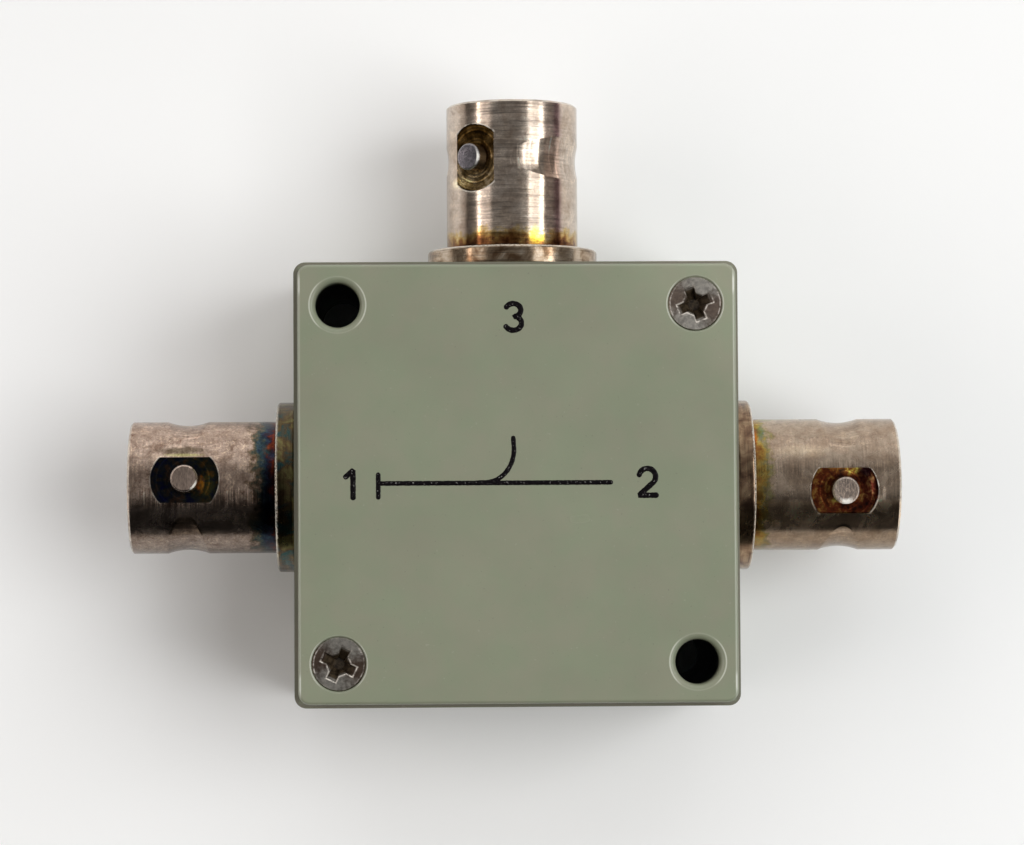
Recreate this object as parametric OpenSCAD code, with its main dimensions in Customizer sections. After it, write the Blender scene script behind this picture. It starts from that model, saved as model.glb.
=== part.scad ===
// Directional coupler: a square box with a screwed lid and three coaxial bayonet jacks.
// The main line runs from the left jack to the right one, and a part of it leaves by the tap jack.
// Origin: centre of the box's base. +Z is up through the lid, +X towards the output jack,
// +Y towards the tap jack. Millimetres.

/* [Box] */
// Width and depth of the square box
box_w = 31.75; // [31:0.25:45]
// Height of the box with its lid on
box_h = 19.05; // [18.5:0.05:28]
// Thickness of the side walls
wall_t = 3; // [2.2:0.1:3.4]
// Gap between the nuts' lower flats and the floor
nut_floor_gap = 0.675; // [0.2:0.025:1.2]
// Radius of the upright corners
corner_r = 0.85; // [0.7:0.05:2]
// Radius of the posts in the corners of the cavity
post_r = 3.3; // [2.8:0.1:3.5]
// Distance from the sides to the middle of each corner hole
hole_inset = 3.175; // [2.8:0.025:3.3]

/* [Lid] */
// Thickness of the lid
lid_t = 1.6; // [1.4:0.1:2.4]
// Radius of the lid's rounded top edge
edge_r = 0.25; // [0.2:0.05:0.6]
// How far the lid's sides lie inside the box's sides
lid_inset = 0.3; // [0:0.01:0.4]
// How far the lid sits off centre, towards the output jack
lid_shift = 0.02; // [0:0.01:0.1]

/* [Corner holes] */
// Diameter of the two mounting holes, which go right through
mount_hole_d = 3.175; // [2.5:0.025:3.6]
// Radius that rounds the mounting holes' mouths in the lid
mount_mouth_r = 0.44; // [0.2:0.02:0.6]
// Head diameter of the lid screws
screw_head_d = 3.82; // [3.4:0.02:4.4]
// Height of the straight rim of a lid screw's head
screw_rim_h = 0.12; // [0.05:0.01:0.2]
// Full angle of the lid screws' flat heads
screw_angle = 82; // [80:1:100]
// Thread diameter of the lid screws
screw_d = 2.18; // [1.8:0.02:2.4]
// Length of a lid screw over its head
screw_l = 9.5; // [6:0.5:12]
// Span of the cross recess
cross_span = 2.5; // [1.8:0.05:2.7]
// Width of the cross recess's arms
cross_w = 0.72; // [0.4:0.02:0.8]
// Distance over the faces that cut off the cross recess's inner corners
cross_core_w = 1.6; // [1:0.05:1.8]
// Depth of the cross recess
cross_depth = 1.1; // [0.6:0.05:1.3]
// Angle of the right-hand screw's cross
right_cross_angle = 21; // [-45:1:45]
// Angle of the left-hand screw's cross
left_cross_angle = -26; // [-45:1:45]

/* [Jack shell] */
// Diameter of the bayonet barrel
barrel_d = 9.65; // [9.3:0.05:9.9]
// Distance from the box's side to the mouth of a jack
jack_reach = 12.15; // [11.6:0.05:14]
// Diameter of the round flange
flange_d = 12.45; // [11.5:0.05:14]
// Thickness of the flange
flange_t = 1.45; // [1:0.05:1.8]
// Radius of the flange's outer edges
flange_edge_r = 0.25; // [0.1:0.05:0.45]
// Bevel round the mouth, outside and inside
mouth_bevel = 0.15; // [0.1:0.05:0.34]
// Diameter of the mouth's bore
mouth_d = 8.13; // [7.9:0.01:8.3]
// Depth of the mouth, down to the seat of the plug's outer contact
mouth_depth = 8.4; // [7.8:0.05:8.8]
// Thickness of the web that the mouth ends on
web_t = 1; // [0.6:0.05:1.4]
// Diameter of the bore behind the web
rear_bore_d = 6.6; // [6:0.05:7.2]
// Outer diameter of the threaded shank
shank_d = 9.5; // [9.2:0.05:9.6]
// Length of shank left beyond its nut
shank_spare = 0.8; // [0.4:0.1:1.4]
// Height of the lip staked over the rear insulator
stake_h = 0.35; // [0.2:0.05:0.5]
// Reach of that lip towards the axis
stake_reach = 0.4; // [0.2:0.05:0.8]

/* [Bayonet] */
// Diameter of the cross pins
lug_d = 1.96; // [1.6:0.02:2.1]
// Distance over the two cross pins' tips
lug_span = 11; // [10.6:0.05:11.2]
// Distance from the mouth back to the pins
lug_setback = 4.15; // [3.8:0.05:4.8]
// Diameter of the spot-faced pocket round a pin
pocket_d = 4.9; // [4.2:0.05:5.3]
// Distance from the axis to the pocket's flat floor
pocket_floor_r = 4.53; // [4.3:0.01:4.6]
// Depth of the scallops between the pins
scallop_depth = 0.28; // [0.1:0.01:0.35]
// Length of the scallops along the barrel
scallop_l = 3.05; // [2:0.05:3.6]
// Half the angle that a scallop spans round the barrel
scallop_half_angle = 52; // [35:1:60]
// Angle of the input jack's pins from upright
in_pin_angle = 6; // [-90:0.5:90]
// Angle of the output jack's pins from upright
out_pin_angle = 6; // [-90:0.5:90]
// Angle of the tap jack's pins from upright
tap_pin_angle = -37.5; // [-90:0.5:90]

/* [Jack insides] */
// Diameter of the front insulator's post
post_d = 4.8; // [4.4:0.05:5]
// Depth of the post's face and the socket's end behind the mouth
post_recess = 3.3; // [2.8:0.05:3.6]
// Length of the front insulator's collar behind the web
collar_l = 3.6; // [2:0.1:4]
// Diameter of the centre contact's socket
socket_d = 2.1; // [1.9:0.02:2.3]
// Bore of the socket
socket_bore_d = 1.35; // [1.2:0.01:1.45]
// Depth of the socket's bore
socket_depth = 5.4; // [4.5:0.1:6]
// Width of the slits in the socket
slit_w = 0.18; // [0.1:0.02:0.2]
// Length of the slits in the socket
slit_l = 4; // [3:0.1:4.5]
// Diameter of the contact's ring, held between the two insulators
ring_d = 3.4; // [2.8:0.1:4]
// Thickness of that ring
ring_t = 1; // [0.6:0.1:1.5]
// Diameter of the contact's tail
tail_d = 1.3; // [1:0.05:1.6]
// Length of the tail beyond the shank
tail_l = 2.7; // [1.8:0.1:3]

/* [Jack fastening] */
// Thickness of the toothed washer
washer_t = 0.5; // [0.3:0.05:0.8]
// Width of the toothed washer's ring, teeth included
washer_w = 1.4; // [1.1:0.05:1.6]
// Number of the washer's teeth
washer_teeth = 12; // [8:1:16]
// Length of the washer's teeth
tooth_l = 0.7; // [0.4:0.05:0.9]
// Thickness of the nut
nut_t = 2; // [1.5:0.1:2.2]
// Width of the nut's ring at its flats
nut_w = 1.6; // [1:0.05:1.7]

/* [Circuit] */
// Thickness of the circuit board
board_t = 1; // [0.6:0.1:1.6]
// Thickness of its traces
trace_t = 0.1; // [0.04:0.01:0.15]
// Gap from the shanks' ends to the board's edges
board_gap = 0.7; // [0.4:0.1:1]
// Diameter of the pillars under the board
pillar_d = 4; // [3.2:0.1:4.4]
// Distance from the board's edges to the middle of its screws
board_screw_inset = 1.9; // [1.7:0.1:2.2]
// Thread diameter of the board screws
board_screw_d = 1.5; // [1.2:0.05:1.7]
// Head diameter of the board screws
board_head_d = 2.9; // [2.4:0.1:3]
// Outer diameter of the ferrite rings
core_d = 6.35; // [5.6:0.05:6.6]
// Bore of the ferrite rings
core_bore_d = 3.05; // [2.8:0.05:3.2]
// Length of the ferrite rings
core_l = 3.2; // [2.4:0.1:3.4]
// Distance between the middles of the two rings
core_pitch = 7.4; // [7.3:0.05:7.6]
// Passes of the winding through each ring
passes = 3; // [2:1:4]
// Angle along a ring from one turn to the next
turn_pitch_angle = 32; // [24:1:36]
// Diameter of the enamelled winding wire
winding_wire_d = 0.3; // [0.2:0.02:0.34]
// Diameter of the bare line wires
line_wire_d = 0.6; // [0.4:0.05:0.7]
// Diameter of the resistor's body
resistor_d = 1.8; // [1.4:0.1:2]
// Length of the resistor's body
resistor_l = 3.2; // [2.6:0.1:3.4]
// Diameter of the resistor's leads
resistor_lead_d = 0.5; // [0.3:0.05:0.6]

/* [Fits] */
// Gap round a part that is pressed in or screwed in
press_gap = 0.01; // [0.005:0.005:0.02]
// Gap round a part that slides in
slide_gap = 0.05; // [0.02:0.01:0.08]
// Gap round a screw's shank in a clearance hole
screw_gap = 0.12; // [0.05:0.01:0.15]

/* [Hidden] */
$fn = 96;

// Directions of the jacks about Z
in_dir = 180;
out_dir = 0;
tap_dir = 90;

// Overlap of a cutting tool past the face that it cuts
over = 0.5;

// Heights in the box
body_h = box_h - lid_t;
axis_z = box_h / 2;
half_w = box_w / 2;
hole_place = half_w - hole_inset;
nut_af = shank_d + 2 * nut_w;
floor_t = axis_z - nut_af / 2 - nut_floor_gap;

// Lid screws: a head with a bevelled rim, a cone and a thread
screw_edge_bevel = 0.07;
screw_cone_h = (screw_head_d - screw_d) / 2 / tan(screw_angle / 2);
screw_end_bevel = 0.3;
tapped_spare = 1.5;
cross_mouth_bevel = 0.06;
cross_low_share = 0.3;

// Places along a jack's axis, measured from the middle of the box
inner_wall_s = half_w - wall_t;
washer_s = inner_wall_s - washer_t;
nut_s = washer_s - nut_t;
shank_end_s = nut_s - shank_spare;
flange_end_s = half_w + flange_t;
mouth_s = half_w + jack_reach;
seat_s = mouth_s - mouth_depth;
web_back_s = seat_s - web_t;
collar_end_s = web_back_s - collar_l;
post_face_s = mouth_s - post_recess;
lug_s = mouth_s - lug_setback;
ring_end_s = collar_end_s - ring_t;
tail_end_s = shank_end_s - tail_l;
stake_s = shank_end_s + stake_h;

// The scallops are turned about an axis that lies off the barrel's own
scallop_r = (pow(scallop_l / 2, 2) + pow(scallop_depth, 2)) / 2 / scallop_depth;
scallop_offset = scallop_depth / (1 - cos(scallop_half_angle));
scallop_floor_r = barrel_d / 2 - scallop_depth + scallop_offset;

// Nut corners are bevelled by a cone at this angle
nut_bevel_angle = 30;

// Bevels on the cross pins' tips and on the contact's ends
pin_bevel = 0.12;
lead_in = 0.15;

// Circuit board: its traces touch the undersides of the three tails
trace_top_z = axis_z - tail_d / 2;
board_top_z = trace_top_z - trace_t;
board_z = board_top_z - board_t;
board_half = shank_end_s - board_gap;
board_front_gap = 1.375;
board_front = inner_wall_s - board_front_gap;
board_head_h = 1;
board_screw_l = 4;
pillar_x = board_half - board_screw_inset;
pillar_places = [
    [-pillar_x, board_half - board_screw_inset],
    [pillar_x, board_half - board_screw_inset],
    [-pillar_x, -board_front + board_screw_inset],
    [pillar_x, -board_front + board_screw_inset]
];
core_z = board_top_z + core_d / 2;
core_ring_r = (core_d + core_bore_d) / 4;
core_half_wall = (core_d - core_bore_d) / 4;
pad_w = 1.3;
trace_w = 0.8;
line_pad_x = 4.6;
tap_trace_x = 3.3;
tap_branch_x = 5.5;
load_x = -4.6;
load_pad_y = -3.8;
resistor_y = -6.4;
ground_pad_y = -9;
return_pad_y = -1.7;
return_pad_x = -3.1;
line_winding_pad_y = 1.8;
tap_winding_pad_y = -5.6;

// Resistor: its end caps, and how far its leads run straight before they bend down
cap_l = 0.7;
resistor_waist = 0.12;
resistor_lead_out = 0.2;
resistor_lead_bend = 0.4;

// Windings: how far they bow round a ring's section, and how their leads leave it and come down
winding_bow = 1.14;
phase_step = 22.5;
first_phase = 90;
lead_reach = 1.2;
lead_drop = 2.2;

// Line wires: the straight part past a ring, the bend down, and the part flat on the traces
wire_past_core = 0.7;
wire_bend = 1.4;
wire_flat = 1;
wire_end_gap = 0.4;
coupled_foot_y = resistor_y + 0.9;
wire_sides = 8;

// A square with round corners, centred
module rounded_square(w, r) {
    square([w - 2 * r, w], center = true);
    square([w, w - 2 * r], center = true);
    for (x = [-1, 1], y = [-1, 1])
        translate([x * (w / 2 - r), y * (w / 2 - r)]) circle(r, $fn = 48);
}

// Children at the two corners that hold the lid screws
module at_screw_corners() {
    for (side = [-1, 1]) translate([side * hole_place, side * hole_place, 0]) children();
}

// Children at the two corners with the mounting holes
module at_mount_corners() {
    for (side = [-1, 1]) translate([side * hole_place, -side * hole_place, 0]) children();
}

// Children on a jack's axis: their +Z points out of the box, and a turn of 0 puts a pin on top
module on_jack_axis(direction, turn = 0) {
    translate([0, 0, axis_z]) rotate([0, 0, direction]) rotate([0, 90, 0]) rotate([0, 0, turn])
        children();
}

// Outlines of the four corner posts of the cavity, each round towards the middle
module post_outlines() {
    for (turn = [0 : 90 : 270]) rotate(turn) translate([hole_place, hole_place]) {
        circle(post_r, $fn = 64);
        translate([-post_r, 0]) square([post_r + hole_inset, hole_inset]);
        translate([0, -post_r]) square([hole_inset, post_r + hole_inset]);
    }
}

module housing() {
    color([0.50, 0.52, 0.46]) {
        difference() {
            linear_extrude(body_h) rounded_square(box_w, corner_r);
            translate([0, 0, floor_t]) linear_extrude(body_h) difference() {
                square(2 * inner_wall_s, center = true);
                post_outlines();
            }
            at_mount_corners() translate([0, 0, -over])
                cylinder(d = mount_hole_d, h = body_h + 2 * over);
            at_screw_corners() translate([0, 0, box_h - screw_l - tapped_spare])
                cylinder(r = screw_d / 2 + press_gap, h = body_h);
            for (direction = [in_dir, out_dir, tap_dir]) on_jack_axis(direction)
                translate([0, 0, inner_wall_s - over])
                    cylinder(r = shank_d / 2 + slide_gap, h = wall_t + 2 * over);
        }
        difference() {
            for (place = pillar_places) translate([place.x, place.y, floor_t])
                cylinder(d = pillar_d, h = board_z - floor_t);
            for (place = pillar_places) translate([place.x, place.y, board_top_z - board_screw_l])
                cylinder(r = board_screw_d / 2 + press_gap, h = board_screw_l);
        }
    }
}

// A flat puck with its upper edge rounded, for the corners of the lid
module lid_corner() {
    cylinder(r = corner_r, h = lid_t - edge_r, $fn = 32);
    translate([0, 0, lid_t - edge_r]) rotate_extrude($fn = 32) intersection() {
        translate([corner_r - edge_r, 0]) circle(edge_r, $fn = 32);
        square(corner_r);
    }
}

module lid() {
    lid_w = box_w - 2 * lid_inset;
    color([0.51, 0.53, 0.46]) translate([0, 0, body_h]) difference() {
        translate([lid_shift, 0, 0]) hull()
            for (x = [-1, 1], y = [-1, 1])
                translate([x * (lid_w / 2 - corner_r), y * (lid_w / 2 - corner_r), 0]) lid_corner();
        at_mount_corners() {
            translate([0, 0, -over]) cylinder(d = mount_hole_d, h = lid_t + 2 * over);
            translate([0, 0, lid_t - mount_mouth_r]) rotate_extrude() difference() {
                square([mount_hole_d / 2 + mount_mouth_r, mount_mouth_r + over]);
                translate([mount_hole_d / 2 + mount_mouth_r, 0]) circle(mount_mouth_r, $fn = 48);
            }
        }
        at_screw_corners() {
            translate([0, 0, -over]) cylinder(r = screw_d / 2 + screw_gap, h = lid_t + 2 * over);
            screw_seat();
        }
    }
}

// The conical seat of a lid screw's head, open upwards
module screw_seat() {
    seat_grow = tan(screw_angle / 2);
    low_z = lid_t - screw_rim_h - screw_cone_h;
    rise = screw_rim_h + screw_cone_h + over;
    translate([0, 0, low_z])
        cylinder(r1 = screw_d / 2 + press_gap, r2 = screw_d / 2 + press_gap + rise * seat_grow, h = rise);
}

// A flat-head lid screw, its head flush with the lid
module lid_screw(side, turn) {
    head_r = screw_head_d / 2;
    color([0.55, 0.54, 0.52]) translate([side * hole_place, side * hole_place, box_h])
        rotate([0, 0, turn]) difference() {
            rotate_extrude() polygon([
                [0, 0],
                [head_r - screw_edge_bevel, 0],
                [head_r, -screw_edge_bevel],
                [head_r, -screw_rim_h],
                [screw_d / 2, -screw_rim_h - screw_cone_h],
                [screw_d / 2, -screw_l + screw_end_bevel],
                [screw_d / 2 - screw_end_bevel, -screw_l],
                [0, -screw_l]
            ]);
            cross_recess();
        }
}

// A cutter for one bar of the recess: a bevelled mouth, and sides that run in towards its foot
module recess_bar(size, low_size) {
    mouth = [size.x + 2 * cross_mouth_bevel, size.y + 2 * cross_mouth_bevel];
    mirror([0, 0, 1]) {
        narrowing_block(mouth, size, cross_mouth_bevel);
        narrowing_block(size, low_size, cross_depth);
    }
    linear_extrude(over) square(mouth, center = true);
}

// A block whose cross-section changes from one rectangle to another over its height
module narrowing_block(size, end_size, h) {
    ratio = [end_size.x / size.x, end_size.y / size.y];
    linear_extrude(h, scale = ratio, slices = 1, segments = 4) square(size, center = true);
}

// The cross recess: two crossed bars, and a square core that cuts off their inner corners
module cross_recess() {
    low_w = cross_w * (1 + cross_low_share) / 2;
    low_span = cross_span * cross_low_share;
    for (turn = [0, 90]) rotate([0, 0, turn])
        recess_bar([cross_span, cross_w], [low_span, low_w]);
    rotate([0, 0, 45])
        recess_bar([cross_core_w, cross_core_w], [low_w, low_w]);
}

module lid_screw_right() {
    lid_screw(1, right_cross_angle);
}

module lid_screw_left() {
    lid_screw(-1, left_cross_angle);
}

// Half section of the shell, turned about its own axis
module shell_section() {
    barrel_r = barrel_d / 2;
    flange_r = flange_d / 2;
    difference() {
        union() {
            translate([0, shank_end_s]) square([shank_d / 2, half_w - shank_end_s]);
            translate([0, half_w]) square([flange_r - flange_edge_r, flange_t]);
            translate([0, half_w + flange_edge_r])
                square([flange_r, flange_t - 2 * flange_edge_r]);
            for (s = [half_w + flange_edge_r, flange_end_s - flange_edge_r])
                translate([flange_r - flange_edge_r, s]) circle(flange_edge_r, $fn = 32);
            polygon([
                [0, half_w],
                [barrel_r, half_w],
                [barrel_r, mouth_s - mouth_bevel],
                [barrel_r - mouth_bevel, mouth_s],
                [0, mouth_s]
            ]);
        }
        polygon([
            [-over, seat_s],
            [mouth_d / 2, seat_s],
            [mouth_d / 2, mouth_s - mouth_bevel],
            [mouth_d / 2 + mouth_bevel + over, mouth_s + over],
            [-over, mouth_s + over]
        ]);
        translate([-over, shank_end_s - over]) square([post_d / 2 + slide_gap + over, mouth_s]);
        translate([-over, stake_s]) square([rear_bore_d / 2 + over, web_back_s - stake_s]);
        translate([-over, shank_end_s - over])
            square([rear_bore_d / 2 - stake_reach + over, stake_h + 2 * over]);
    }
}

// The ring-shaped cutter that leaves one scallop, its axis off the barrel's own
module scallop_cutter(side) {
    translate([0, -side * scallop_offset, lug_s]) rotate_extrude()
        translate([scallop_floor_r + scallop_r, 0]) intersection() {
            circle(scallop_r, $fn = 128);
            translate([-scallop_r, -scallop_l / 2]) square([scallop_depth + over, scallop_l]);
        }
}

module shell(direction, turn) {
    color([0.60, 0.55, 0.50]) on_jack_axis(direction, turn) difference() {
        rotate_extrude() shell_section();
        for (side = [-1, 1]) {
            translate([side * pocket_floor_r, 0, lug_s]) rotate([0, side * 90, 0])
                cylinder(d = pocket_d, h = lug_span);
            translate([0, 0, lug_s]) rotate([0, side * 90, 0])
                cylinder(r = lug_d / 2 + press_gap, h = lug_span);
            intersection() {
                scallop_cutter(side);
                translate([-barrel_d, side > 0 ? 0 : -2 * barrel_d, half_w])
                    cube([2 * barrel_d, 2 * barrel_d, jack_reach]);
            }
        }
    }
}

// Two pressed pins, from just outside the mouth's bore to their bevelled tips
module bayonet_pins(direction, turn) {
    foot_r = mouth_d / 2 + slide_gap;
    color([0.72, 0.69, 0.64]) on_jack_axis(direction, turn) for (side = [-1, 1])
        translate([0, 0, lug_s]) rotate([0, side * 90, 0]) rotate_extrude($fn = 64) polygon([
            [0, foot_r],
            [lug_d / 2, foot_r],
            [lug_d / 2, lug_span / 2 - pin_bevel],
            [lug_d / 2 - pin_bevel, lug_span / 2],
            [0, lug_span / 2]
        ]);
}

// Front insulator: a post in the mouth and a collar behind the web
module front_insulator(direction) {
    color([0.93, 0.92, 0.88]) on_jack_axis(direction) rotate_extrude() polygon([
        [socket_d / 2 + slide_gap, collar_end_s],
        [rear_bore_d / 2 - press_gap, collar_end_s],
        [rear_bore_d / 2 - press_gap, web_back_s],
        [post_d / 2, web_back_s],
        [post_d / 2, post_face_s],
        [socket_d / 2 + slide_gap, post_face_s]
    ]);
}

// Rear insulator: holds the contact's ring against the front one
module rear_insulator(direction) {
    color([0.93, 0.92, 0.88]) on_jack_axis(direction) rotate_extrude() polygon([
        [tail_d / 2 + slide_gap, stake_s],
        [rear_bore_d / 2 - press_gap, stake_s],
        [rear_bore_d / 2 - press_gap, collar_end_s],
        [ring_d / 2 + slide_gap, collar_end_s],
        [ring_d / 2 + slide_gap, ring_end_s],
        [tail_d / 2 + slide_gap, ring_end_s]
    ]);
}

// Centre contact: a slit socket, a holding ring and a solder tail
module contact(direction) {
    color([0.83, 0.66, 0.30]) on_jack_axis(direction) difference() {
        rotate_extrude() polygon([
            [0, tail_end_s],
            [tail_d / 2 - lead_in, tail_end_s],
            [tail_d / 2, tail_end_s + lead_in],
            [tail_d / 2, ring_end_s],
            [ring_d / 2, ring_end_s],
            [ring_d / 2, collar_end_s],
            [socket_d / 2, collar_end_s],
            [socket_d / 2, post_face_s - lead_in],
            [socket_d / 2 - lead_in, post_face_s],
            [0, post_face_s]
        ]);
        translate([0, 0, post_face_s - socket_depth])
            cylinder(d = socket_bore_d, h = socket_depth + over);
        translate([0, 0, post_face_s - lead_in])
            cylinder(r1 = socket_bore_d / 2, r2 = socket_bore_d / 2 + lead_in, h = lead_in);
        for (turn = [0, 90]) rotate([0, 0, turn])
            translate([-socket_d, -slit_w / 2, post_face_s - slit_l])
                cube([2 * socket_d, slit_w, slit_l + over]);
    }
}

// Toothed washer between the wall and the nut
module washer(direction) {
    tooth_tip_r = shank_d / 2 + slide_gap;
    tooth_w = PI * tooth_tip_r / washer_teeth;
    color([0.62, 0.62, 0.60]) on_jack_axis(direction) translate([0, 0, washer_s])
        linear_extrude(washer_t) difference() {
            circle(tooth_tip_r + washer_w);
            circle(tooth_tip_r);
            for (i = [0 : washer_teeth - 1]) rotate(i * 360 / washer_teeth)
                translate([0, -tooth_w / 2]) square([tooth_tip_r + tooth_l, tooth_w]);
        }
}

// Thin hexagon nut on the shank, with bevelled corners and a flat towards the floor
module nut(direction) {
    corner = nut_af / 2 / cos(30);
    bevel_run = corner - nut_af / 2;
    bevel_h = bevel_run * tan(nut_bevel_angle);
    color([0.70, 0.66, 0.56]) on_jack_axis(direction) translate([0, 0, nut_s]) difference() {
        intersection() {
            rotate([0, 0, 30]) cylinder(r = corner, h = nut_t, $fn = 6);
            rotate_extrude() polygon([
                [0, 0],
                [nut_af / 2, 0],
                [corner, bevel_h],
                [corner, nut_t],
                [0, nut_t]
            ]);
        }
        translate([0, 0, -over]) cylinder(r = shank_d / 2 + press_gap, h = nut_t + 2 * over);
    }
}

module circuit_board() {
    color([0.12, 0.36, 0.22]) translate([0, 0, board_z]) difference() {
        translate([-board_half, -board_front, 0])
            cube([2 * board_half, board_half + board_front, board_t]);
        for (place = pillar_places) translate([place.x, place.y, -over])
            cylinder(r = board_screw_d / 2 + screw_gap, h = board_t + 2 * over);
    }
}

// A flat copper trace between two corners
module trace(corner_a, corner_b) {
    translate([corner_a.x, corner_a.y, board_top_z])
        cube([corner_b.x - corner_a.x, corner_b.y - corner_a.y, trace_t]);
}

module board_traces() {
    color([0.80, 0.50, 0.28]) {
        trace([-board_half, -pad_w / 2], [-line_pad_x, pad_w / 2]);
        union() {
            trace([line_pad_x, -pad_w / 2], [board_half, pad_w / 2]);
            trace([tap_branch_x - trace_w / 2, resistor_y], [tap_branch_x + trace_w / 2, 0]);
        }
        union() {
            trace([-pad_w / 2, tail_end_s - pad_w], [pad_w / 2, board_half]);
            trace([0, tail_end_s - pad_w], [tap_trace_x, tail_end_s - pad_w + trace_w]);
            trace([tap_trace_x - trace_w / 2, resistor_y],
                [tap_trace_x + trace_w / 2, tail_end_s - pad_w + trace_w]);
        }
        trace([load_x - pad_w / 2, load_pad_y - pad_w / 2],
            [return_pad_x + pad_w / 2, load_pad_y + pad_w / 2]);
        trace([load_x - pad_w / 2, ground_pad_y - pad_w / 2], [load_x + pad_w / 2, ground_pad_y + pad_w / 2]);
        trace([return_pad_x - pad_w / 2, return_pad_y - pad_w / 2],
            [return_pad_x + pad_w / 2, return_pad_y + pad_w / 2]);
        trace([tap_trace_x - pad_w / 2, ground_pad_y - pad_w / 2],
            [tap_trace_x + pad_w / 2, ground_pad_y + pad_w / 2]);
    }
}

module board_screws() {
    color([0.68, 0.68, 0.66]) for (place = pillar_places)
        translate([place.x, place.y, board_top_z]) difference() {
            rotate_extrude($fn = 48) polygon([
                [0, -board_screw_l + screw_end_bevel],
                [board_screw_d / 2, -board_screw_l + screw_end_bevel],
                [board_screw_d / 2, 0],
                [board_head_d / 2, 0],
                [board_head_d / 2, board_head_h - screw_end_bevel],
                [board_head_d / 2 - screw_end_bevel, board_head_h],
                [0, board_head_h]
            ]);
            translate([-board_head_d, -slit_w, board_head_h / 2])
                cube([2 * board_head_d, 2 * slit_w, board_head_h]);
        }
}

// A ferrite ring that stands on the board, its axis along X
module core(y) {
    color([0.24, 0.23, 0.23]) translate([-core_l / 2, y, core_z]) rotate([0, 90, 0])
        difference() {
            cylinder(d = core_d, h = core_l);
            translate([0, 0, -over]) cylinder(d = core_bore_d, h = core_l + 2 * over);
        }
}

module line_core() {
    core(0);
}

module tap_core() {
    core(-core_pitch);
}

// Sign-keeping power, for a rounded rectangle given by an angle
function keep_sign_power(v, p) = sign(v) * pow(abs(v), p);

// Middle of the winding wire: it circles the ring's section as it walks along the ring
function turn_point(y, phase, last_phase) =
    let (
        stand_off = winding_wire_d / 2 + slide_gap,
        radial = (core_half_wall + stand_off) * winding_bow,
        axial = (core_l / 2 + stand_off) * winding_bow,
        along = 90 + (phase - (first_phase + last_phase) / 2) / 360 * turn_pitch_angle,
        reach = core_ring_r + radial * keep_sign_power(cos(phase), 1 / 3)
    )
    [
        axial * keep_sign_power(sin(phase), 1 / 3),
        y + reach * cos(along),
        core_z + reach * sin(along)
    ];

function winding_turns(y, last_phase) = [
    for (phase = [first_phase : phase_step : last_phase]) turn_point(y, phase, last_phase)
];

// A curve from one point to another that leaves and arrives along given directions
function lead_curve(from, leave, to, arrive, steps) = [
    for (i = [1 : steps])
        let (t = i / steps, u = 1 - t)
        u * u * u * from + 3 * u * u * t * (from + leave) + 3 * u * t * t * (to - arrive) + t * t * t * to
];

function reversed(list) = [for (i = [len(list) - 1 : -1 : 0]) list[i]];

function unit(v) = v / norm(v);

function tangent(path, i) = unit(path[min(i + 1, len(path) - 1)] - path[max(i - 1, 0)]);

// One side direction for each point of a path, carried along it without twist
function side_directions(path, i, last) =
    i >= len(path) ? [] :
    let (t = tangent(path, i), side = unit(last - t * (last * t)))
    concat([side], side_directions(path, i + 1, side));

// A round wire along a path
module wire(path, d) {
    start = tangent(path, 0);
    first_side = unit(cross(start, abs(start.z) > 0.9 ? [1, 0, 0] : [0, 0, 1]));
    sides = side_directions(path, 0, first_side);
    rings = len(path);
    points = [
        for (i = [0 : rings - 1])
            let (t = tangent(path, i), a = sides[i], b = cross(t, a))
            for (k = [0 : wire_sides - 1])
                path[i] + d / 2 * (cos(k * 360 / wire_sides) * a + sin(k * 360 / wire_sides) * b)
    ];
    walls = [
        for (i = [0 : rings - 2], k = [0 : wire_sides - 1])
            let (next = (k + 1) % wire_sides)
            [
                i * wire_sides + k,
                (i + 1) * wire_sides + k,
                (i + 1) * wire_sides + next,
                i * wire_sides + next
            ]
    ];
    start_cap = [for (k = [0 : wire_sides - 1]) k];
    end_cap = [for (k = [wire_sides - 1 : -1 : 0]) (rings - 1) * wire_sides + k];
    polyhedron(points, concat([start_cap], walls, [end_cap]));
}

// A winding with a lead from each end to its place on a trace
module winding(y, last_phase, start_pad, end_pad) {
    turns = winding_turns(y, last_phase);
    wire_z = trace_top_z + winding_wire_d / 2;
    first = turns[0];
    last = turns[len(turns) - 1];
    start_foot = [start_pad.x, start_pad.y, wire_z];
    end_foot = [end_pad.x, end_pad.y, wire_z];
    start_out = [sign(start_pad.x) * lead_reach, 0, 0];
    end_out = [sign(end_pad.x) * lead_reach, 0, 0];
    drop = [0, 0, -lead_drop];
    start_lead = lead_curve(first, start_out, start_foot, drop, 8);
    end_lead = lead_curve(last, end_out, end_foot, drop, 8);
    wire(concat(reversed(start_lead), turns, end_lead), winding_wire_d);
}

module line_winding() {
    color([0.62, 0.26, 0.14])
        winding(0, 360 * passes - 90, [tap_trace_x, line_winding_pad_y], [return_pad_x, return_pad_y]);
}

module tap_winding() {
    color([0.62, 0.26, 0.14])
        winding(-core_pitch, 360 * passes + 90, [tap_branch_x, tap_winding_pad_y],
            [tap_trace_x, ground_pad_y]);
}

// The main line: from the input's trace up through the first ring and down to the output's
module through_wire() {
    wire_z = trace_top_z + line_wire_d / 2;
    inside = [core_l / 2 + wire_past_core, 0, core_z];
    low = [line_pad_x + wire_flat / 2, 0, wire_z];
    half = concat(
        [inside],
        lead_curve(inside, [wire_bend, 0, 0], low, [wire_flat, 0, 0], 10),
        [[tail_end_s - wire_end_gap, 0, wire_z]]
    );
    other_half = [for (p = half) [-p.x, p.y, p.z]];
    color([0.78, 0.77, 0.74]) wire(concat(reversed(other_half), half), line_wire_d);
}

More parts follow.
